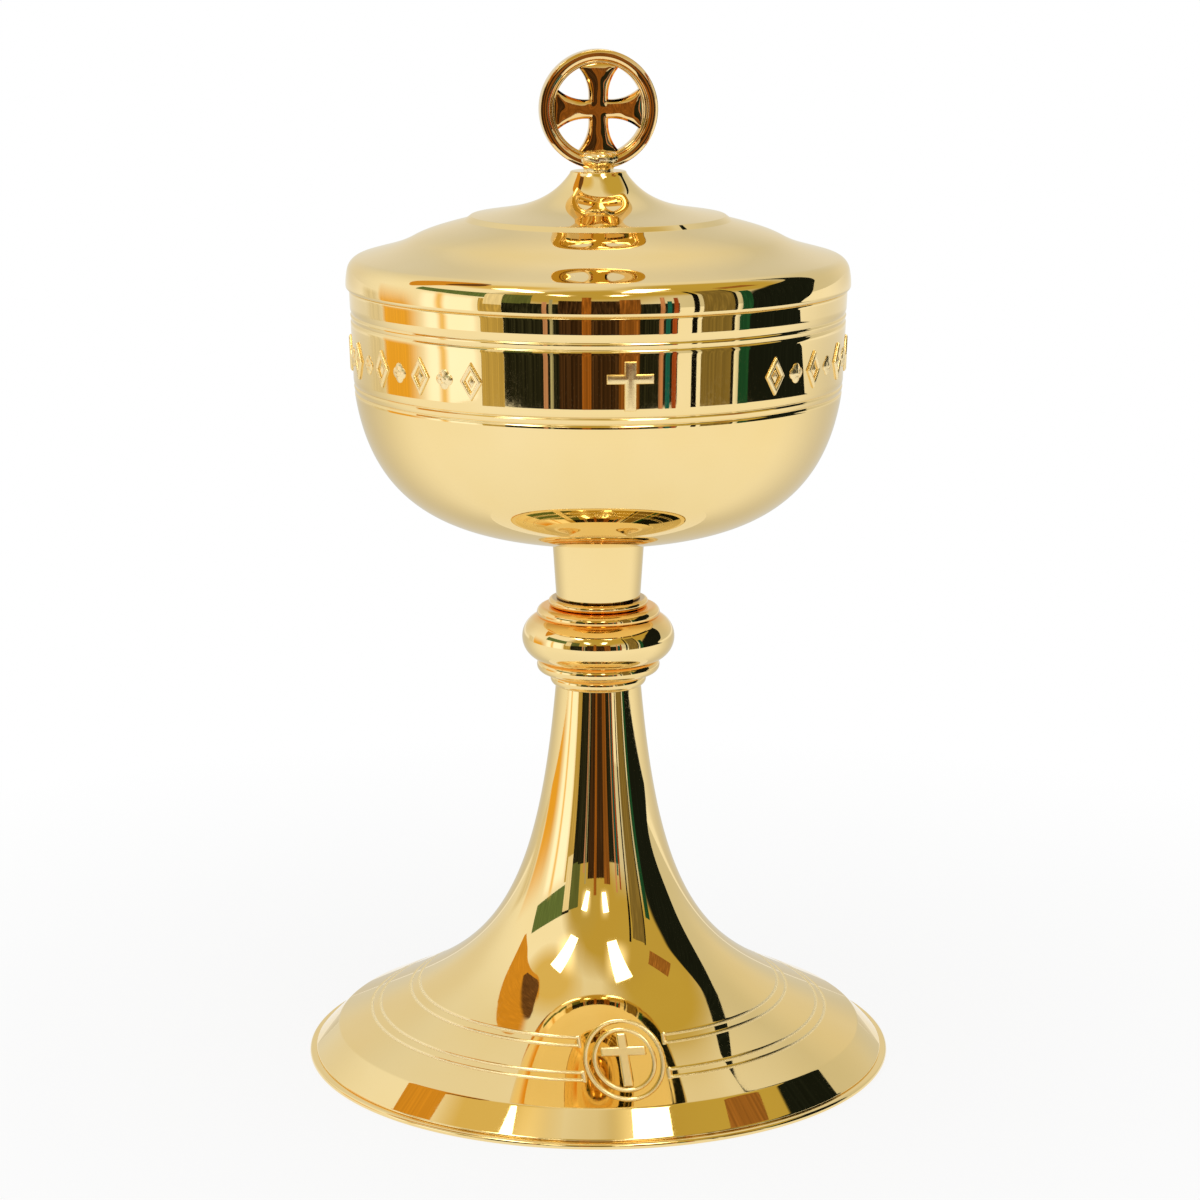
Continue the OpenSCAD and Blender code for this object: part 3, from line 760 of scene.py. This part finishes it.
def makeLozenge():
    # frame with a rounded back, its four sides in steps
    s, sunk = ornamentSizes, reliefSizes.sunk
    wide, high, steps = s.wide / 2, s.high / 2, s.frameSteps
    corners = points((wide, 0), (0, high), (-wide, 0), (0, -high))
    profile = [(0, -sunk), *((share, rise * s.frameRise) for share, rise in s.frame), (1, -sunk)]
    loops = []
    for share, rise in profile:
        drawn = inset(corners, share * s.frameWidth)
        sides = zip(drawn, drawn[1:] + drawn[:1])
        loop = [a + (b - a) * j / steps for a, b in sides for j in range(steps)]
        loops.append([onWall(*p, rise) for p in loop])
    # a faceted stud in the middle of the frame
    stud = [[onWall(*(s.stud * share * p), rise) for p in corners] for share, rise in s.studLevels]
    return joinPieces(ringMesh("lozenge", loops + loops[:1]), ringMesh("stud", stud, closeTop=True))


def joinPieces(first, second):
    shape = bmesh.new()
    for piece in (first, second):
        shape.from_mesh(piece.data)
    bmesh.ops.remove_doubles(shape, verts=shape.verts, dist=1e-7)
    shape.to_mesh(first.data)
    shape.free()
    bpy.data.objects.remove(second)
    return first


def makeFlower():
    # four lobes with valleys between them, and a round heart
    s = ornamentSizes
    middle = s.flower - s.lobe
    loops = []
    for share in s.shares:
        loop = []
        for turn in np.arange(0, 360, s.flowerTurn):
            near = math.radians((turn + 45) % 90 - 45)
            edge = middle * math.cos(near) + math.sqrt(s.lobe ** 2 - (middle * math.sin(near)) ** 2)
            valley = 1 - s.valley * abs(math.sin(near)) / math.sin(math.pi / 4) * share
            rise = valley * math.sqrt(1 - share ** 3)
            if share <= s.heart:
                rise = s.heartRise + s.heartCrown * math.cos(share / s.heartReach * math.pi / 2)
            rise = s.flowerRise * rise if share < 1 else -reliefSizes.sunk
            loop.append(onWall(*polar(share * edge, turn), rise))
        loops.append(loop)
    return ringMesh("flower", loops, closeTop=True)


def makeBandTree():
    # lozenges round the cup, with a flower between each two
    tree, given, output = newTree("ornamentBand", Flower="Object", Lozenges="Int", First="Float",
                                  Step="Float", Finish="Material")
    flower = addNode(tree, "GeometryNodeObjectInfo", (("Object", given["Flower"]),))["Geometry"]
    parts = []
    for motif, fewer, shift in ((given["Geometry"], 0.0, 0.0), (flower, 1.0, 0.5)):
        count = nodeMath(tree, "SUBTRACT", given["Lozenges"], fewer)
        places = addNode(tree, "GeometryNodeMeshLine", (("Count", count), ("Offset", (0.0, 0.0, 0.0))))[0]
        index = addNode(tree, "GeometryNodeInputIndex")[0]
        along = nodeMath(tree, "MULTIPLY", nodeMath(tree, "ADD", index, shift), given["Step"])
        angle = nodeMath(tree, "ADD", along, given["First"])
        turn = addNode(tree, "ShaderNodeCombineXYZ", ((2, angle),))[0]
        wires = (("Points", places), ("Instance", motif), ("Rotation", turn))
        parts.append(addNode(tree, "GeometryNodeInstanceOnPoints", wires)[0])
    joined = addNode(tree, "GeometryNodeJoinGeometry", [(0, part) for part in parts])[0]
    endTree(tree, joined, given["Finish"], output)
    return tree


def makeOrnament():
    s = ornamentSizes
    band, flower = makeLozenge(), makeFlower()
    step = math.radians(360 - 2 * s.start) / (s.lozenges - 1)
    bakeTree(band, makeBandTree(), Flower=flower, Lozenges=s.lozenges, First=math.radians(s.start),
             Step=step, Finish=reliefGold)
    bpy.data.objects.remove(flower)
    band.name = band.data.name = "cupOrnament"
    dress(band, "cup_and_foot", "cup_ornament")


makeCupCross()
makeOrnament()
print("relief made")


# lid

lidSizes = Sizes(
    radius=58.65, rim=185.5, edgeRound=0.9, edgeRise=0.2, skirtTop=(58.25, 190.1), skirtLean=77,
    skirtPull=1.1, shoulder=3.6, flatSlope=16, flatPull=4.6, step=(43.3, 196.95), stepSlope=29,
    stepPulls=(4.6, 4.0), crease=(31.0, 201.05), creasePull=3.4, creaseSoft=0.5, bellFoot=(29.6, 202.1),
    bellSlope=9, bellPull=10.5, crownEdge=(6.6, 211.7), crownSlope=55, crownPull=9.0, crownRound=0.6,
    crown=212.3, wall=1.0, bore=2.2, underStep=0.2, collar=56.09, skirtSteps=10, shoulderSteps=24,
    flatSteps=32, domeSteps=52, crownSteps=8, segments=256)


def lidTop():
    # from the rolled edge over the shoulder and the two soft steps to the edge of the crown
    s = lidSizes
    skirt, step, crease, bell, crown = points(s.skirtTop, s.step, s.crease, s.bellFoot, s.crownEdge)
    foot = point(s.radius, s.rim + s.edgeRound + s.edgeRise)
    path = curve(foot, foot + point(0, s.skirtPull), skirt + polar(s.skirtPull, -s.skirtLean), skirt,
                 s.skirtSteps)
    upright = 90 - s.skirtLean
    shoulder = skirt - polar(s.shoulder, upright)
    path += arc(shoulder, s.shoulder, upright, 90 - s.flatSlope, s.shoulderSteps)[1:]
    path += curve(path[-1], path[-1] + polar(s.flatPull, 180 - s.flatSlope),
                  step + polar(s.stepPulls[0], -s.stepSlope), step, s.flatSteps)[1:]
    terrace = curve(step, step + polar(s.stepPulls[1], 180 - s.stepSlope),
                    crease + polar(s.creasePull, -s.flatSlope), crease, s.flatSteps)
    dome = curve(bell, bell + polar(s.bellPull, 180 - s.bellSlope),
                 crown + polar(s.crownPull, -s.crownSlope), crown, s.domeSteps)
    path += terrace[1:-1] + softCorner(terrace[-2], crease, bell, s.creaseSoft)
    return path + softCorner(crease, bell, dome[1], s.creaseSoft) + dome[1:]


def makeLid():
    s = lidSizes
    top = lidTop()
    edge = arc(point(s.radius - s.edgeRound, s.rim + s.edgeRound), s.edgeRound, -90, 0)
    corner = arc(top[-1] - point(s.crownRound, 0), s.crownRound, 90 - s.crownSlope, 90, s.crownSteps)
    ceiling, shelf = s.crown - s.wall, s.rim + s.wall
    under = [p for p in reversed(moved(top, -s.wall)) if p[1] < ceiling and p[0] > s.bore]
    start = point(s.collar, s.rim)
    outline = [start] + edge + top + corner
    outline += points((s.bore, s.crown), (s.bore, ceiling), (under[0][0] - s.underStep, ceiling))
    outline += under + points((s.radius - s.wall, shelf), (s.collar, shelf)) + [start]
    lid = turnPiece("lidShell", outline, polishedGold, s.segments)
    dress(lid, "lid", "lid_shell")


lidCollarSizes = Sizes(drop=7.0, soft=0.25, segments=224)


def makeLidCollar():
    s = lidCollarSizes
    outer, wall, rim = lidSizes.collar, lidSizes.wall, lidSizes.rim
    low, high = rim - s.drop, rim + wall
    corners = points((outer - wall, low), (outer, low), (outer, high), (outer - wall, high))
    collar = turnPiece("lidCollar", softLoop(corners, s.soft), polishedGold, s.segments)
    dress(collar, "lid", "lid_collar")


makeLid()
makeLidCollar()
print("lid made")


# finial

ringSizes = Sizes(
    middle=226.4, radius=13.6, halfDepth=2.5, band=2.2, bandCrown=0.14, bandSoft=0.16,
    crownAt=(0.5, 0.25, 0, -0.25, -0.5), bead=1.0, beadHalfDepth=1.9, beadFrom=20, segments=160)


def standUp(piece):
    # from lying round Z to standing on the lid, facing the front
    lift = Matrix.Translation((0, 0, ringSizes.middle * mm))
    piece.data.transform(lift @ Matrix.Rotation(math.pi / 2, 4, "X"))
    return piece


def makeFinialRing():
    s = ringSizes
    half, beadRound = s.band / 2, s.bead / 2
    middle, within = s.radius - half, s.radius - s.band
    # the band's front is nearly flat, with soft edges
    edge = s.halfDepth - s.bandCrown
    outer, inner = points((s.radius, edge), (within, edge))
    front = softCorner(point(s.radius, 0), outer, inner, s.bandSoft)
    front += [point(middle + half * u, s.halfDepth - s.bandCrown * u * u) for u in s.crownAt]
    front += softCorner(outer, inner, point(within, 0), s.bandSoft)
    bead = arc(point(within - beadRound, s.beadHalfDepth - beadRound), beadRound, s.beadFrom, 180)
    back = [p * point(1, -1) for p in reversed(front + bead)]
    outline = back + front + bead + back[:1]
    ring = standUp(turnPiece("finialRing", outline, castGold, s.segments))
    dress(ring, "lid", "finial_ring")


crossSizes = Sizes(
    waist=2.15, waistAt=3.0, hollow=9.8, edgeHalf=1.1, edgeDraw=0.1, edgeRise=0.06, edgeFall=0.05,
    bevel=0.55, rimDraw=0.12, rimFall=0.03, faceHalf=1.6, dome=0.16, cushion=0.08, ripple=0.04,
    rippleScale=0.4, armRows=22, armColumns=10, smoothOver=28)


def crossArm(draw):
    # right-hand side and end of the upper arm, drawn in by a distance
    s, ring = crossSizes, ringSizes
    far = s.waist + s.hollow
    radius = s.hollow + draw
    end = ring.radius - ring.band - ring.bead / 2 - draw
    right = point(far, s.waistAt)
    # the side starts on the diagonal and ends at the ring
    nook = (far + s.waistAt) / 2 - math.sqrt(radius ** 2 / 2 - (far - s.waistAt) ** 2 / 4)
    reach = np.linalg.norm(right)
    swing = math.degrees(math.acos((reach ** 2 + end ** 2 - radius ** 2) / (2 * reach * end)))
    tip = polar(end, angleOf(right) + swing)
    first, last = angleOf(point(nook, nook) - right), angleOf(tip - right)
    side = arc(right, radius, first % 360, last % 360, s.armRows)
    return side, arc(point(0, 0), end, angleOf(tip), 180 - angleOf(tip), s.armColumns)


def quarterTurn(p, quarter):
    c, n = ((1, 0), (0, 1), (-1, 0), (0, -1))[quarter]
    return point(c * p[0] - n * p[1], n * p[0] + c * p[1])


def crossOutline(draw):
    side, end = crossArm(draw)
    left = [p * point(-1, 1) for p in reversed(side)]
    return [quarterTurn(p, quarter) for quarter in range(4) for p in side + end[1:-1] + left[:-1]]


def crossFace(draw):
    # patches of the cushioned face, as rows of (place, rise): one in the middle and one on each arm
    side, end = crossArm(draw)
    across = np.linspace(1, -1, crossSizes.armColumns + 1)
    nook, tip = side[0][0], side[-1]
    patches = [[[(nook * point(u, v), nook * (1 - (u * v) ** 2)) for u in across] for v in across]]
    arm = []
    for k, edge in enumerate(side):
        share = k / crossSizes.armRows
        bow = [share ** 3 * (e - tip * point(u, 1)) for u, e in zip(across, end)]
        swell = edge[0] * (1 - share ** 6)
        arm.append([(edge * point(u, 1) + b, swell * (1 - u * u)) for u, b in zip(across, bow)])
    for quarter in range(4):
        patches.append([[(quarterTurn(p, quarter), rise) for p, rise in row] for row in arm])
    return patches


def makeFinialCross():
    s = crossSizes
    dome = lambda p: s.faceHalf + s.dome * (1 - (p @ p) / ringSizes.radius ** 2)
    faceDraw = s.bevel + s.rimDraw
    levels = [(faceDraw, dome), (s.bevel, lambda p: dome(p) - s.rimFall),
              (s.edgeDraw, lambda p: s.edgeHalf + s.edgeRise),
              (0.0, lambda p: s.edgeHalf - s.edgeFall)]
    outlines = [[(*p, rise(p)) for p in crossOutline(draw)] for draw, rise in levels]
    outlines += [[(x, y, -z) for x, y, z in outline] for outline in reversed(outlines)]
    shape = bmesh.new()
    bridge(shape, [[shape.verts.new(p) for p in outline] for outline in outlines])
    for way in (1, -1):
        for patch in crossFace(faceDraw):
            net = [[(*p, way * (dome(p) + s.cushion * rise)) for p, rise in row] for row in patch]
            bridge(shape, [[shape.verts.new(p) for p in row] for row in net], closed=False)
    bmesh.ops.remove_doubles(shape, verts=shape.verts, dist=1e-3)
    for vert in shape.verts:
        vert.co.z *= 1 + s.ripple * noise.noise(vert.co * s.rippleScale)
    bmesh.ops.recalc_face_normals(shape, faces=shape.faces)
    bmesh.ops.scale(shape, vec=(mm, mm, mm), verts=shape.verts)
    cross = standUp(shapePiece("finialCross", shape, castGold, s.smoothOver))
    dress(cross, "lid", "finial_cross")


budSizes = Sizes(
    low=212.3, footRadius=3.5, radius=4.9, high=4.5, stud=2.0, studLength=9.0, studEdge=0.4, flareIn=0.5,
    flareRise=1.2, flareSteps=24, capShare=2.6, capSteps=14, flatRings=6, segments=128, growFrom=0.05,
    growOver=1.2, axis=0.2, lobes=7, lobeRise=0.35, lobeTwist=0.4, lobeFloor=0.6, lumps=0.5,
    lumpScale=330, middle=2.0, lean=0.35)


def makeFinialBase():
    s = budSizes
    low, top, stud, edge = s.low, s.low + s.high, s.stud, s.studEdge
    tip, bend = low - s.studLength, low + s.flareRise
    capRound = s.high / s.capShare
    outline = points((0, tip), (stud - edge, tip), (stud, tip + edge), (stud, low), (s.footRadius, low))
    outline += curve(*points((s.footRadius, low), (s.footRadius - s.flareIn, bend), (s.radius, bend),
                             (s.radius, top - capRound)), s.flareSteps)[1:]
    cap = arc(point(s.radius - capRound, top - capRound), capRound, 0, 90, s.capSteps)[1:]
    flat = [cap[-1] * point(1 - k / s.flatRings, 1) for k in range(1, s.flatRings + 1)]
    bud = turnPiece("finialBase", outline + cap + flat, budGold, s.segments)
    # lobes and lumps of the cast bud
    for vert in bud.data.vertices:
        height = vert.co.z / mm - low
        radius = math.hypot(vert.co.x, vert.co.y) / mm
        if height < s.growFrom or radius < s.axis:
            continue
        turn = math.atan2(vert.co.y, vert.co.x)
        lobe = abs(math.cos(s.lobes * turn / 2 + s.lobeTwist * height)) - s.lobeFloor
        lump = noise.noise(vert.co * s.lumpScale) * s.lumps
        push = min(1.0, height / s.growOver) * (s.lobeRise * lobe + lump)
        rise = s.lean * (vert.co.z - (low + s.middle) * mm)
        vert.co += Vector((vert.co.x, vert.co.y, rise)).normalized() * push * mm
    dress(bud, "lid", "finial_base")


makeFinialRing()
makeFinialCross()
makeFinialBase()
print("finial made")


# fastenings keep their own shape

fastenings = dict(
    cup_boss=plainBrass, tie_rod=brightSteel, foot_washer=brightSteel, foot_nut=brightSteel,
    lid_washer=brightSteel, lid_nut=brightSteel)
for node, finish in fastenings.items():
    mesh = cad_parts[node].data
    mesh.materials.clear()
    mesh.materials.append(finish)


# studio

cameraSizes = Sizes(
    away=0.7686, height=0.2769, turn=-7.0, pitch=12.19, yaw=0.03, focal=3313.7, frameWidth=1200,
    sensor=36.0, clip=(0.01, 100))


def makeCamera():
    s = cameraSizes
    data = bpy.data.cameras.new("photoCamera")
    data.sensor_width = s.sensor
    data.lens = s.focal / s.frameWidth * s.sensor
    data.clip_start, data.clip_end = s.clip
    camera = newPiece("photoCamera", data)
    camera.location = (*roundCamera(0, s.away), s.height)
    camera.rotation_euler = (math.radians(90 - s.pitch), 0, math.radians(s.turn - s.yaw))
    bpy.context.scene.camera = camera


def roundCamera(bearing, distance):
    # a place on the table, by its bearing from the camera's side: positive is to the camera's right
    turn = math.radians(bearing + cameraSizes.turn)
    return distance * math.sin(turn), -distance * math.cos(turn)


def straight(low, high, first, last):
    return (low, first, last), (high, first, last)


# coloured cards round the table, which only the metal sees
cardSizes = Sizes(
    bend=0.45, pattern=(1.1, 4), patternRange=(0.25, 0.8), patternPower=2.5, patternHigh=4, streakDim=0.5,
    streakBright=5.0, leastRows=24, extraRows=2, columns=25, glowHeight=1.31, glowColour=(1.7, 1.58, 1.25),
    glowFades=(0.5, 0.5, 0.5, 0.5))
# bearings from and to, low, high, away, colour, streaks
uprightCards = {
    "darkFront": (-42, 35, 0.0, 0.27, 0.75, (0.015, 0.016, 0.010), 1.0),
    "tanFront": (-53, -42, 0.0, 0.31, 0.76, (0.50, 0.37, 0.12), 0.25),
    "coralStrip": (-24, -22, 0.0, 0.30, 0.74, (0.50, 0.27, 0.19), 0.3),
    "paleStrip": (-21, -19.5, 0.0, 0.35, 0.74, (0.35, 0.35, 0.26), 0.3),
    "brownFront": (-17, 9, 0.0, 0.33, 0.74, (0.040, 0.020, 0.009), 1.0),
    "amberStrip": (-7, -3, 0.0, 0.41, 0.73, (0.28, 0.10, 0.016), 0.5),
    "amberPanel": (9, 18, 0.0, 0.35, 0.73, (0.22, 0.085, 0.018), 0.5),
    "coralSlip": (26.5, 28.5, 0.0, 0.38, 0.73, (0.50, 0.24, 0.15), 0.3),
    "tealSlip": (29.5, 31.5, 0.0, 0.30, 0.73, (0.012, 0.13, 0.15), 0.3),
    "redSlip": (32.5, 34.5, 0.0, 0.36, 0.73, (0.32, 0.07, 0.02), 0.3),
    "blackPost": (41.5, 44, 0.0, 0.80, 0.76, (0.006, 0.006, 0.006), 0.0),
    "tanRight": (46, 61, 0.0, 0.76, 0.78, (0.21, 0.155, 0.05), 0.25),
    "postRight": (61, 62.5, 0.0, 0.78, 0.78, (0.010, 0.010, 0.008), 0.0),
    "greenStrip": (65, 70.5, 0.0, 0.48, 0.77, (0.012, 0.075, 0.04), 0.3),
    "amberRight": (67, 91, 0.83, 1.08, 0.78, (0.30, 0.13, 0.03), 0.3),
    "greenLeft": (-88, -50, 0.34, 0.53, 0.80, (0.12, 0.19, 0.075), 0.2),
    "greenFront": (-50, -29, 0.26, 0.49, 0.77, (0.11, 0.14, 0.05), 0.2),
    "palePost": (-50.5, -42, 0.22, 0.47, 0.745, (0.85, 0.78, 0.62), 0.1),
    "palePostFoot": (-51, -41.5, 0.47, 0.49, 0.745, (0.02, 0.02, 0.01), 0.0),
}
# how far its foot and its top are, colour, streaks,
# faded shares of its first side, last side, top and foot, rows of (height, from, to)
sweptCards = {
    "amberLeft": (0.80, 0.80, (0.86, 0.46, 0.055), 0.1, (0.08, 0.45, 0.9, 0.0),
        straight(0.0, 0.34, -114, -82)),
    "amberThin": (0.78, 0.78, (0.95, 0.68, 0.30), 0.1, (0.5, 0.5, 0.2, 0.0), straight(0.0, 0.36, -77, -69)),
    "paleLeft": (0.81, 0.81, (1.25, 1.26, 1.42), 0.0, (0.2, 0.1, 0.2, 0.0), straight(0.0, 0.34, -86, -54)),
    "tanLeft": (0.80, 0.80, (0.74, 0.69, 0.57), 0.1, (0.4, 0.4, 0.3, 0.0), straight(0.0, 0.20, -132, -110)),
    "greenRight": (0.80, 0.80, (0.009, 0.012, 0.010), 0.25, (0.12, 0.0, 0.0, 0.0),
        ((0.0, 63, 112), (0.08, 63, 100), (0.18, 63, 108), (0.31, 65, 112), (0.45, 72, 117),
        (0.56, 80, 121), (0.66, 87, 124.5), (0.74, 99, 128), (0.83, 116, 131.5),
        (0.92, 122.5, 135), (1.02, 129, 138), (1.10, 134.5, 140), (1.16, 138.5, 141))),
    "amberHigh": (0.82, 0.82, (0.66, 0.31, 0.035), 0.1, (0.0, 0.0, 0.1, 0.0),
        ((0.50, -96, -94), (0.66, -103, -90), (0.85, -112, -89), (1.07, -121, -86),
        (1.28, -129, -82), (1.55, -131, -86), (1.90, -127, -98))),
    "brownHigh": (0.81, 0.81, (0.13, 0.06, 0.022), 0.4, (0.2, 0.0, 0.1, 0.0),
        ((1.02, -96, -91), (1.18, -102, -87), (1.36, -109, -84), (1.55, -116, -88),
        (1.72, -121, -97), (1.84, -120, -106), (1.90, -117, -111))),
    "greyBack": (0.60, 0.60, (0.80, 0.76, 0.65), 0.0, (0.25, 0.25, 0.5, 0.3),
        ((0.04, 118, 242), (0.27, 118, 242), (0.50, 118, 242))),
    # a grey sheet lying behind, partly the darker table and partly a painted shadow of the piece, seen only
    # in the metal
    "greyTable": (0.09, 1.80, (0.68, 0.66, 0.60), 0.0, (0.3, 0.3, 0.6, 0.0),
        straight(0.002, 0.002, 88, 272)),
}
# how far its near and far edges are, bearings from and to
glowCards = {
    "glowNearLeft": (0.50, 1.55, -59, -27),
    "glowNearRight": (0.36, 1.28, 6, 46),
    "glowFarLeft": (1.70, 2.92, -26, -9),
    "glowFarRight": (1.62, 2.84, 1, 17),
}


def eased(values, stops):
    # smooth curve through values, read at stops
    slopes = np.gradient(values)
    k = np.clip(stops.astype(int), 0, len(values) - 2)
    t = stops - k
    start = values[k] * (1 + 2 * t) + slopes[k] * t
    end = values[k + 1] * (3 - 2 * t) - slopes[k + 1] * (1 - t)
    return start * (1 - t) ** 2 + end * t ** 2


def showSurface(finish, surface):
    feed(finish.node_tree, surface, finish.node_tree.nodes["Material Output"].inputs["Surface"])


def cardFinish(name, colour, streaks, faded):
    s = cardSizes
    finish, tree = newFinish(name)[:2]
    tree.nodes.remove(tree.nodes["Principled BSDF"])
    # upright streaks, by the attribute "along": bearing and height
    wave = spread(tree, noiseOn(tree, attribute(tree, "along", "Vector"), *s.pattern), *s.patternRange)
    wave = nodeMath(tree, "POWER", wave, s.patternPower)
    dim, bright = [1 + streaks * (s[k] - 1) for k in ("streakDim", "streakBright")]
    wires = (("Color", colour), ("Strength", spread(tree, wave, 0.0, 1.0, dim, bright)))
    surface = addNode(tree, "ShaderNodeEmission", wires)[0]
    if faded:
        clear = addNode(tree, "ShaderNodeBsdfTransparent")[0]
        surface = mixedShader(tree, attribute(tree, "solid", "Fac"), clear, surface)
    showSurface(finish, surface)
    return finish


def makeCard(name, rows, footAway, topAway, colour, streaks, bend=0.0, fades=(0, 0, 0, 0)):
    s = cardSizes
    rows = np.array(rows, float)
    stops = np.linspace(0, len(rows) - 1, s.leastRows + s.extraRows * len(rows))
    heights, firsts, lasts = [eased(rows[:, k], stops) for k in range(3)]
    facing = (rows[0, 1] + rows[0, 2]) / 2
    verts, along, solid = [], [], []
    for step, z, first, last in zip(stops / stops[-1], heights, firsts, lasts):
        away = footAway + (topAway - footAway) * step
        for share in np.linspace(0, 1, s.columns):
            bearing = first + (last - first) * share
            distance = away / math.cos(math.radians(bend * (bearing - facing)))
            verts.append((*roundCamera(bearing, distance), z))
            along += [bearing, s.patternHigh * z, 0]
            depths = [min(d / f, 1) for d, f in zip((share, 1 - share, 1 - step, step), fades) if f]
            solid.append(math.prod(d * d * (3 - 2 * d) for d in depths))
    faces = netFaces(len(stops), s.columns, closed=False)
    card = meshPiece(name, verts, faces, cardFinish(name, colour, streaks, any(fades)))
    card.data.attributes.new("along", "FLOAT_VECTOR", "POINT").data.foreach_set("vector", along)
    card.data.attributes.new("solid", "FLOAT", "POINT").data.foreach_set("value", solid)
    card.visible_camera = card.visible_diffuse = card.visible_shadow = False


def makeCards():
    s = cardSizes
    for name, (first, last, low, high, away, colour, streaks) in uprightCards.items():
        makeCard(name, straight(low, high, first, last), away, away, colour, streaks, s.bend)
    for name, (footAway, topAway, colour, streaks, fades, rows) in sweptCards.items():
        makeCard(name, rows, footAway, topAway, colour, streaks, fades=fades)
    for name, (footAway, topAway, first, last) in glowCards.items():
        rows = straight(s.glowHeight, s.glowHeight, first, last)
        makeCard(name, rows, footAway, topAway, s.glowColour, 0.0, fades=s.glowFades)


# each lamp's place, to the camera's right and towards it
lampSizes = Sizes(
    height=1.3, wide=0.26, long=0.72, power=2.4,
    lamps=dict(lampNearLeft=(-0.70, 0.75), lampNearRight=(0.36, 0.74), lampFarLeft=(-0.70, 2.2),
               lampFarRight=(0.36, 2.2)))


def makeLamp(name, right, towards):
    s = lampSizes
    data = bpy.data.lights.new(name, "AREA")
    data.shape = "RECTANGLE"
    data.size, data.size_y = s.wide, s.long
    data.energy = s.power
    lamp = newPiece(name, data)
    bearing = math.degrees(math.atan2(right, towards))
    lamp.location = (*roundCamera(bearing, math.hypot(right, towards)), s.height)
    lamp.rotation_euler = (0, 0, math.radians(cameraSizes.turn))


def lightPath(tree, *labels):
    path = addNode(tree, "ShaderNodeLightPath")
    result = path[labels[0]]
    for label in labels[1:]:
        result = nodeMath(tree, "MAXIMUM", result, path[label])
    return result


# soft patches of colour that the metal sees: bearing, up, cosines where it starts and is full, colour
worldSizes = Sizes(ambient=0.55, white=(1, 1, 1), low=(0.69, 0.68, 0.62), patches=(
    (-65, 0, -0.3, 0.7, (1.0, 1.0, 0.99)),
    (0, 90, 0.80, 0.97, (0.84, 0.80, 0.68)),
    (180, 60, 0.85, 0.97, (0.87, 0.85, 0.80)),
    (-72, 62, 0.94, 0.985, (0.74, 0.57, 0.22)),
    (2, 36, 0.80, 0.94, (0.54, 0.40, 0.09)),
    (-24, 24, 0.90, 0.97, (0.52, 0.40, 0.11)),
    (38, 46, 0.86, 0.95, (0.54, 0.40, 0.09)),
    (75, 50, 0.80, 0.92, (0.54, 0.41, 0.10)),
    (104, 63, 0.93, 0.98, (0.56, 0.43, 0.10))))


def makeWorld():
    s = worldSizes
    world = bpy.context.scene.world or bpy.data.worlds.new("studio")
    bpy.context.scene.world = world
    world.use_nodes = True
    tree = world.node_tree
    tree.nodes.clear()
    way = addNode(tree, "ShaderNodeTexCoord")["Generated"]
    shade = s.low
    for bearing, up, first, last, colour in s.patches:
        rise = math.radians(up)
        middle = (*roundCamera(bearing, math.cos(rise)), math.sin(rise))
        toward = addNode(tree, "ShaderNodeVectorMath", ((0, way), (1, middle)),
                         operation="DOT_PRODUCT")["Value"]
        shade = mixed(tree, spread(tree, toward, first, last), shade, colour)
    looks = ((s.white, s.ambient), (shade, 1.0), (s.white, 1.0))
    plain, mirrored, white = [
        addNode(tree, "ShaderNodeBackground", (("Color", colour), ("Strength", level)))[0]
        for colour, level in looks]
    shiny = mixedShader(tree, lightPath(tree, "Is Glossy Ray", "Is Transmission Ray"), plain, mirrored)
    seen = mixedShader(tree, lightPath(tree, "Is Camera Ray"), shiny, white)
    addNode(tree, "ShaderNodeOutputWorld", (("Surface", seen),))


floorSizes = Sizes(
    half=60.0, colour=(0.90, 0.90, 0.89), rough=0.9, gloss=0.1, near=0.075, far=0.30, nearGlow=0.86,
    farGlow=1.0)


def makeFloor():
    s = floorSizes
    finish, tree, inputs = newFinish("floorPaper")
    for label, value in (("Base Color", s.colour), ("Roughness", s.rough),
                         ("Specular IOR Level", s.gloss)):
        feed(tree, value, inputs[label])
    # plain paper whose own shadow shows near the foot and fades to white further out
    fade = spread(tree, turnedPlace(tree)[1], s.near, s.far, s.nearGlow, s.farGlow)
    rays = lightPath(tree, "Is Camera Ray", "Is Glossy Ray", "Is Transmission Ray")
    paper, glow = tree.nodes["Principled BSDF"].outputs[0], addNode(tree, "ShaderNodeEmission")[0]
    showSurface(finish, mixedShader(tree, nodeMath(tree, "MULTIPLY", rays, fade), paper, glow))
    h = s.half
    meshPiece("floor", [(-h, -h, 0), (h, -h, 0), (h, h, 0), (-h, h, 0)], [(0, 1, 2, 3)], finish)


makeCamera()
makeCards()
for name, place in lampSizes.lamps.items():
    makeLamp(name, *place)
makeWorld()
makeFloor()
bpy.context.scene.view_settings.view_transform = "Standard"
print("studio made")
